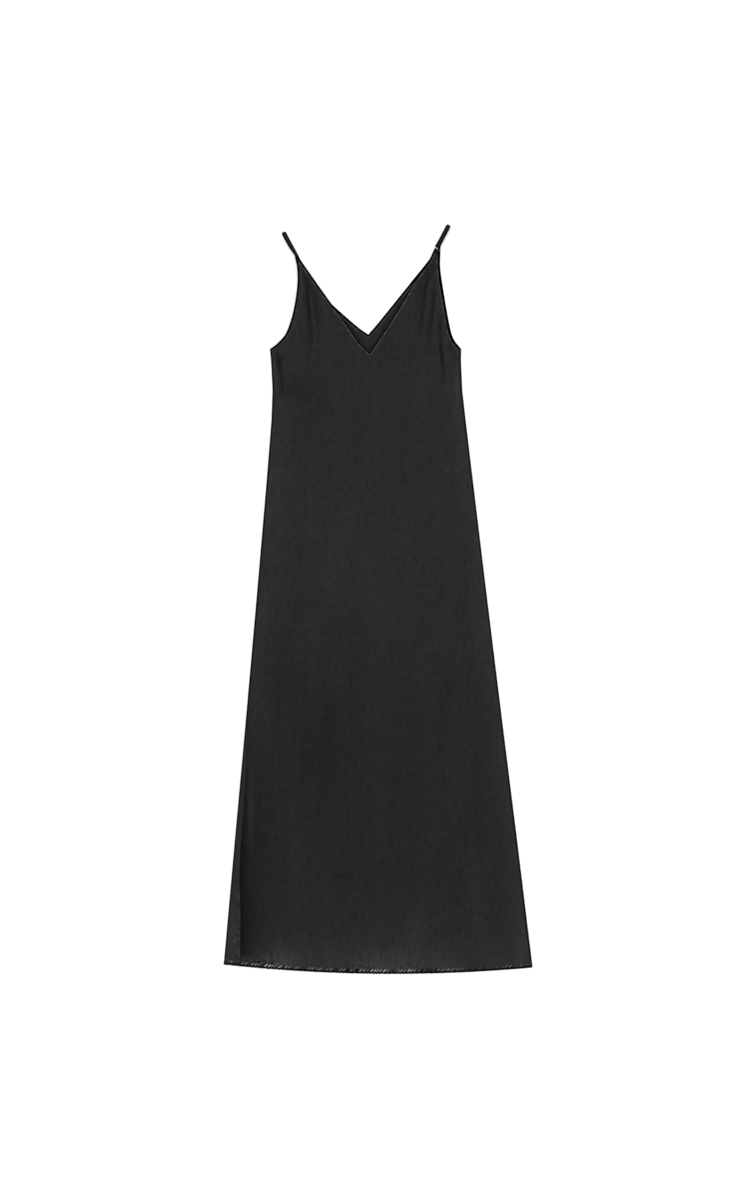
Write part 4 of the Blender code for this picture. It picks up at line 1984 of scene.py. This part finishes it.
@dataclass(frozen=True)
class Studio:
    """Pale floor, soft lights and a camera straight above."""

    floor_half: float = 30.0
    floor_drop: float = 0.0002
    horizon: float = 0.95
    horizon_top: float = 0.02
    zenith: float = 0.14
    zenith_from: float = 0.5
    lens: float = 100.0
    sensor: float = 36.0
    far: float = 100.0
    frame_height: float = 2.4
    centre: Range = (-9.2, 747.6)
    lights: tuple[SoftLight, ...] = (
        SoftLight("key", 128.0, 42.0, 2.9, 44.0),
        SoftLight("fill", 40.0, 40.0, 1.9, 54.0),
        SoftLight("rim", 262.0, 36.0, 1.0, 54.0),
    )

    def placed(self, name: str, data: bpy.types.ID) -> bpy.types.Object:
        """Puts a new object into the scene.

        Args:
            name: Its name.
            data: Mesh, light or camera that it shows.

        Returns:
            The object.
        """
        item = bpy.data.objects.new(name, data)
        bpy.context.scene.collection.objects.link(item)
        return item

    def floor(self) -> None:
        """Makes the floor."""
        half = self.floor_half
        corners = [(-half, -half), (half, -half), (half, half), (-half, half)]
        mesh = bpy.data.meshes.new("floor")
        mesh.from_pydata([(*corner, -self.floor_drop) for corner in corners], [], [(0, 1, 2, 3)])
        mesh.materials.append(FloorFinish().build())
        self.placed("floor", mesh)

    def light(self) -> None:
        """Makes the lights and the pale surroundings."""
        graph = Graph(bpy.data.worlds.new("studio"), "Background")
        height = graph.parts(graph.node("ShaderNodeTexCoord", {}, {}, "Generated"))[2]
        fade = height.smooth(self.horizon_top, self.zenith_from, self.horizon, self.zenith)
        white = {"Color": (1.0, 1.0, 1.0, 1.0)}
        bpy.context.scene.world = graph.dress(white, {"Strength": fade})
        for plan in self.lights:
            lamp = bpy.data.lights.new(plan.name, "SUN")
            lamp.energy = plan.strength
            lamp.angle = math.radians(plan.spread)
            tilt = math.radians(90.0 - plan.height)
            self.placed(plan.name, lamp).rotation_euler = (0.0, tilt, math.radians(plan.compass))

    def camera(self) -> None:
        """Makes the camera, straight above the dress with its head towards the straps."""
        data = bpy.data.cameras.new("camera")
        data.lens = self.lens
        data.sensor_width = self.sensor
        data.clip_end = self.far
        item = self.placed("camera", data)
        across, up = ((spot - middle) * MM for spot, middle in zip(self.centre, MIDDLE))
        item.location = (across, up, self.frame_height * self.lens / self.sensor)
        bpy.context.scene.camera = item

    def build(self) -> None:
        """Makes the floor, the lights and the camera."""
        self.floor()
        self.light()
        self.camera()
        bpy.context.scene.view_settings.view_transform = "Standard"


# ---------------------------------------------------------------------------
# The dress
# ---------------------------------------------------------------------------


@dataclass(frozen=True)
class PanelPlan:
    """One panel's edges: its word in names, its cut, the cut below it, and its rolls."""

    label: str
    cut: Cut
    under: Cut | None
    relief: Relief
    roll_height: float
    neck_highlight: float
    arm_highlights: Range

    def rolls(self) -> dict[str, RolledEdge]:
        """The panel's rolled edges.

        Returns:
            The edges, by their place on the panel.
        """
        edge, under = f"{self.label}_armhole_edge", self.under
        rolls = {"neck": RolledEdge(
            f"{self.label}_neck_roll", f"{self.label}_neck_edge", self.cut.neckline(), 1.0,
            self.relief, self.roll_height, under.neckline() if under else None, self.neck_highlight,
            seed=7,
        )}
        for side, tone in zip(Side, self.arm_highlights):
            rolls[f"armhole_{side.label}"] = RolledEdge(
                f"{self.label}_armhole_roll_{side.label}", f"{edge}_{side.label}",
                self.cut.armhole(side), side.into_cloth, self.relief, self.roll_height,
                under.armhole(side) if under else None, tone, seed=8, fade=(0.0, 16.0),
            )
        return rolls


@dataclass(frozen=True)
class SlipDress:
    """The whole dress, piece by piece, from its five materials."""

    satin: bpy.types.Material
    turned: bpy.types.Material
    edge: bpy.types.Material
    strap: bpy.types.Material
    thread: bpy.types.Material

    def edges(self, plan: PanelPlan) -> list[bpy.types.Object]:
        """The rolled edges of one panel, with their stitches.

        Args:
            plan: The panel's edges.

        Returns:
            The pieces.
        """
        made = []
        for place, roll in plan.rolls().items():
            name = f"{plan.label}_{place}_stitches"
            stitches = StitchRow(name, roll.stitch_line(), roll.top, pitch=2.6, length=1.8)
            made += [roll.build(self.edge), stitches.build(self.thread)]
        return made

    def hem(self, hem: TurnedHem) -> list[bpy.types.Object]:
        """One panel's hem, with its stitches.

        Args:
            hem: The hem.

        Returns:
            The pieces.
        """
        stitches = StitchRow(
            f"{hem.node}_stitches", hem.stitch_line(), hem.top, pitch=3.6, length=2.6, thread=0.24
        )
        return [hem.build(self.edge), stitches.build(self.thread)]

    def build(self) -> list[bpy.types.Object]:
        """Makes every piece, from the back to the straps.

        Returns:
            The pieces.
        """
        back = BackPanel(
            "back_cloth", "back_panel", BACK_CUT, BACK_RELIEF, BACK_PAINTED_LIGHT,
            columns=70, skirt_rows=130, arm_rows=40, wall=0.5,
        ).build(self.satin)
        back_parts = self.edges(PanelPlan(
            "back", BACK_CUT, None, BACK_RELIEF,
            roll_height=1.0, neck_highlight=3.2, arm_highlights=(0.6, 0.12),
        ))
        back_parts += self.hem(TurnedHem(
            "back_hem_fold", "back_hem", BACK_CUT, BACK_RELIEF,
            height=0.95, drawn=0.3, pucker_height=0.12, seed=31, painted_highlight=0.6,
        ))
        front = FrontPanel(
            "front_cloth", "front_panel", FRONT_CUT, FRONT_RELIEF, FRONT_PAINTED_LIGHT,
            columns=96, skirt_rows=190, arm_rows=46,
        ).build(self.satin)
        front_parts = self.edges(PanelPlan(
            "front", FRONT_CUT, BACK_CUT, FRONT_RELIEF,
            roll_height=1.35, neck_highlight=3.6, arm_highlights=(2.8, 3.4),
        ))
        front_parts += self.hem(TurnedHem(
            "front_hem_fold", "front_hem", FRONT_CUT, FRONT_RELIEF,
            height=1.15, drawn=1.0, pucker_height=0.8, seed=17, painted_highlight=36.0,
        ))
        side_turn = SideTurn("side_turn_cloth", "back_side_turn", FRONT_RELIEF)
        seam = StitchRow(
            "side_turn_stitches", side_turn.stitch_line(), side_turn.surface, pitch=3.4, length=2.5
        )
        turn, turn_parts = side_turn.build(self.turned), [seam.build(self.thread)]
        front_parts += [Strap(side).build(self.strap) for side in Side]
        return [back, *back_parts, front, *front_parts, turn, *turn_parts]


def main() -> None:
    """Builds the dress in order, reports its pieces and builds its studio."""
    logging.basicConfig(level=logging.INFO, format="%(name)s %(message)s")
    shiny = {"roughness": 0.40, "grain": 0.16, "sheen": 0.02}
    matt = {"roughness": 0.5, "sheen": 0.0, "gloss": 0.01}
    dress = SlipDress(
        satin=SatinFinish("black_satin", **shiny).build(),
        turned=SatinFinish("turned_black_satin", **shiny).build(),
        edge=SatinFinish("edge_black_satin", grain=0.12, **matt).build(),
        strap=SatinFinish("strap_black_satin", grain=0.10, **matt).build(),
        thread=ThreadFinish().build(),
    )
    for piece in dress.build():
        LOG.info("%s: %d faces", piece.name, len(piece.data.polygons))
    Studio().build()


if __name__ == "__main__":
    main()
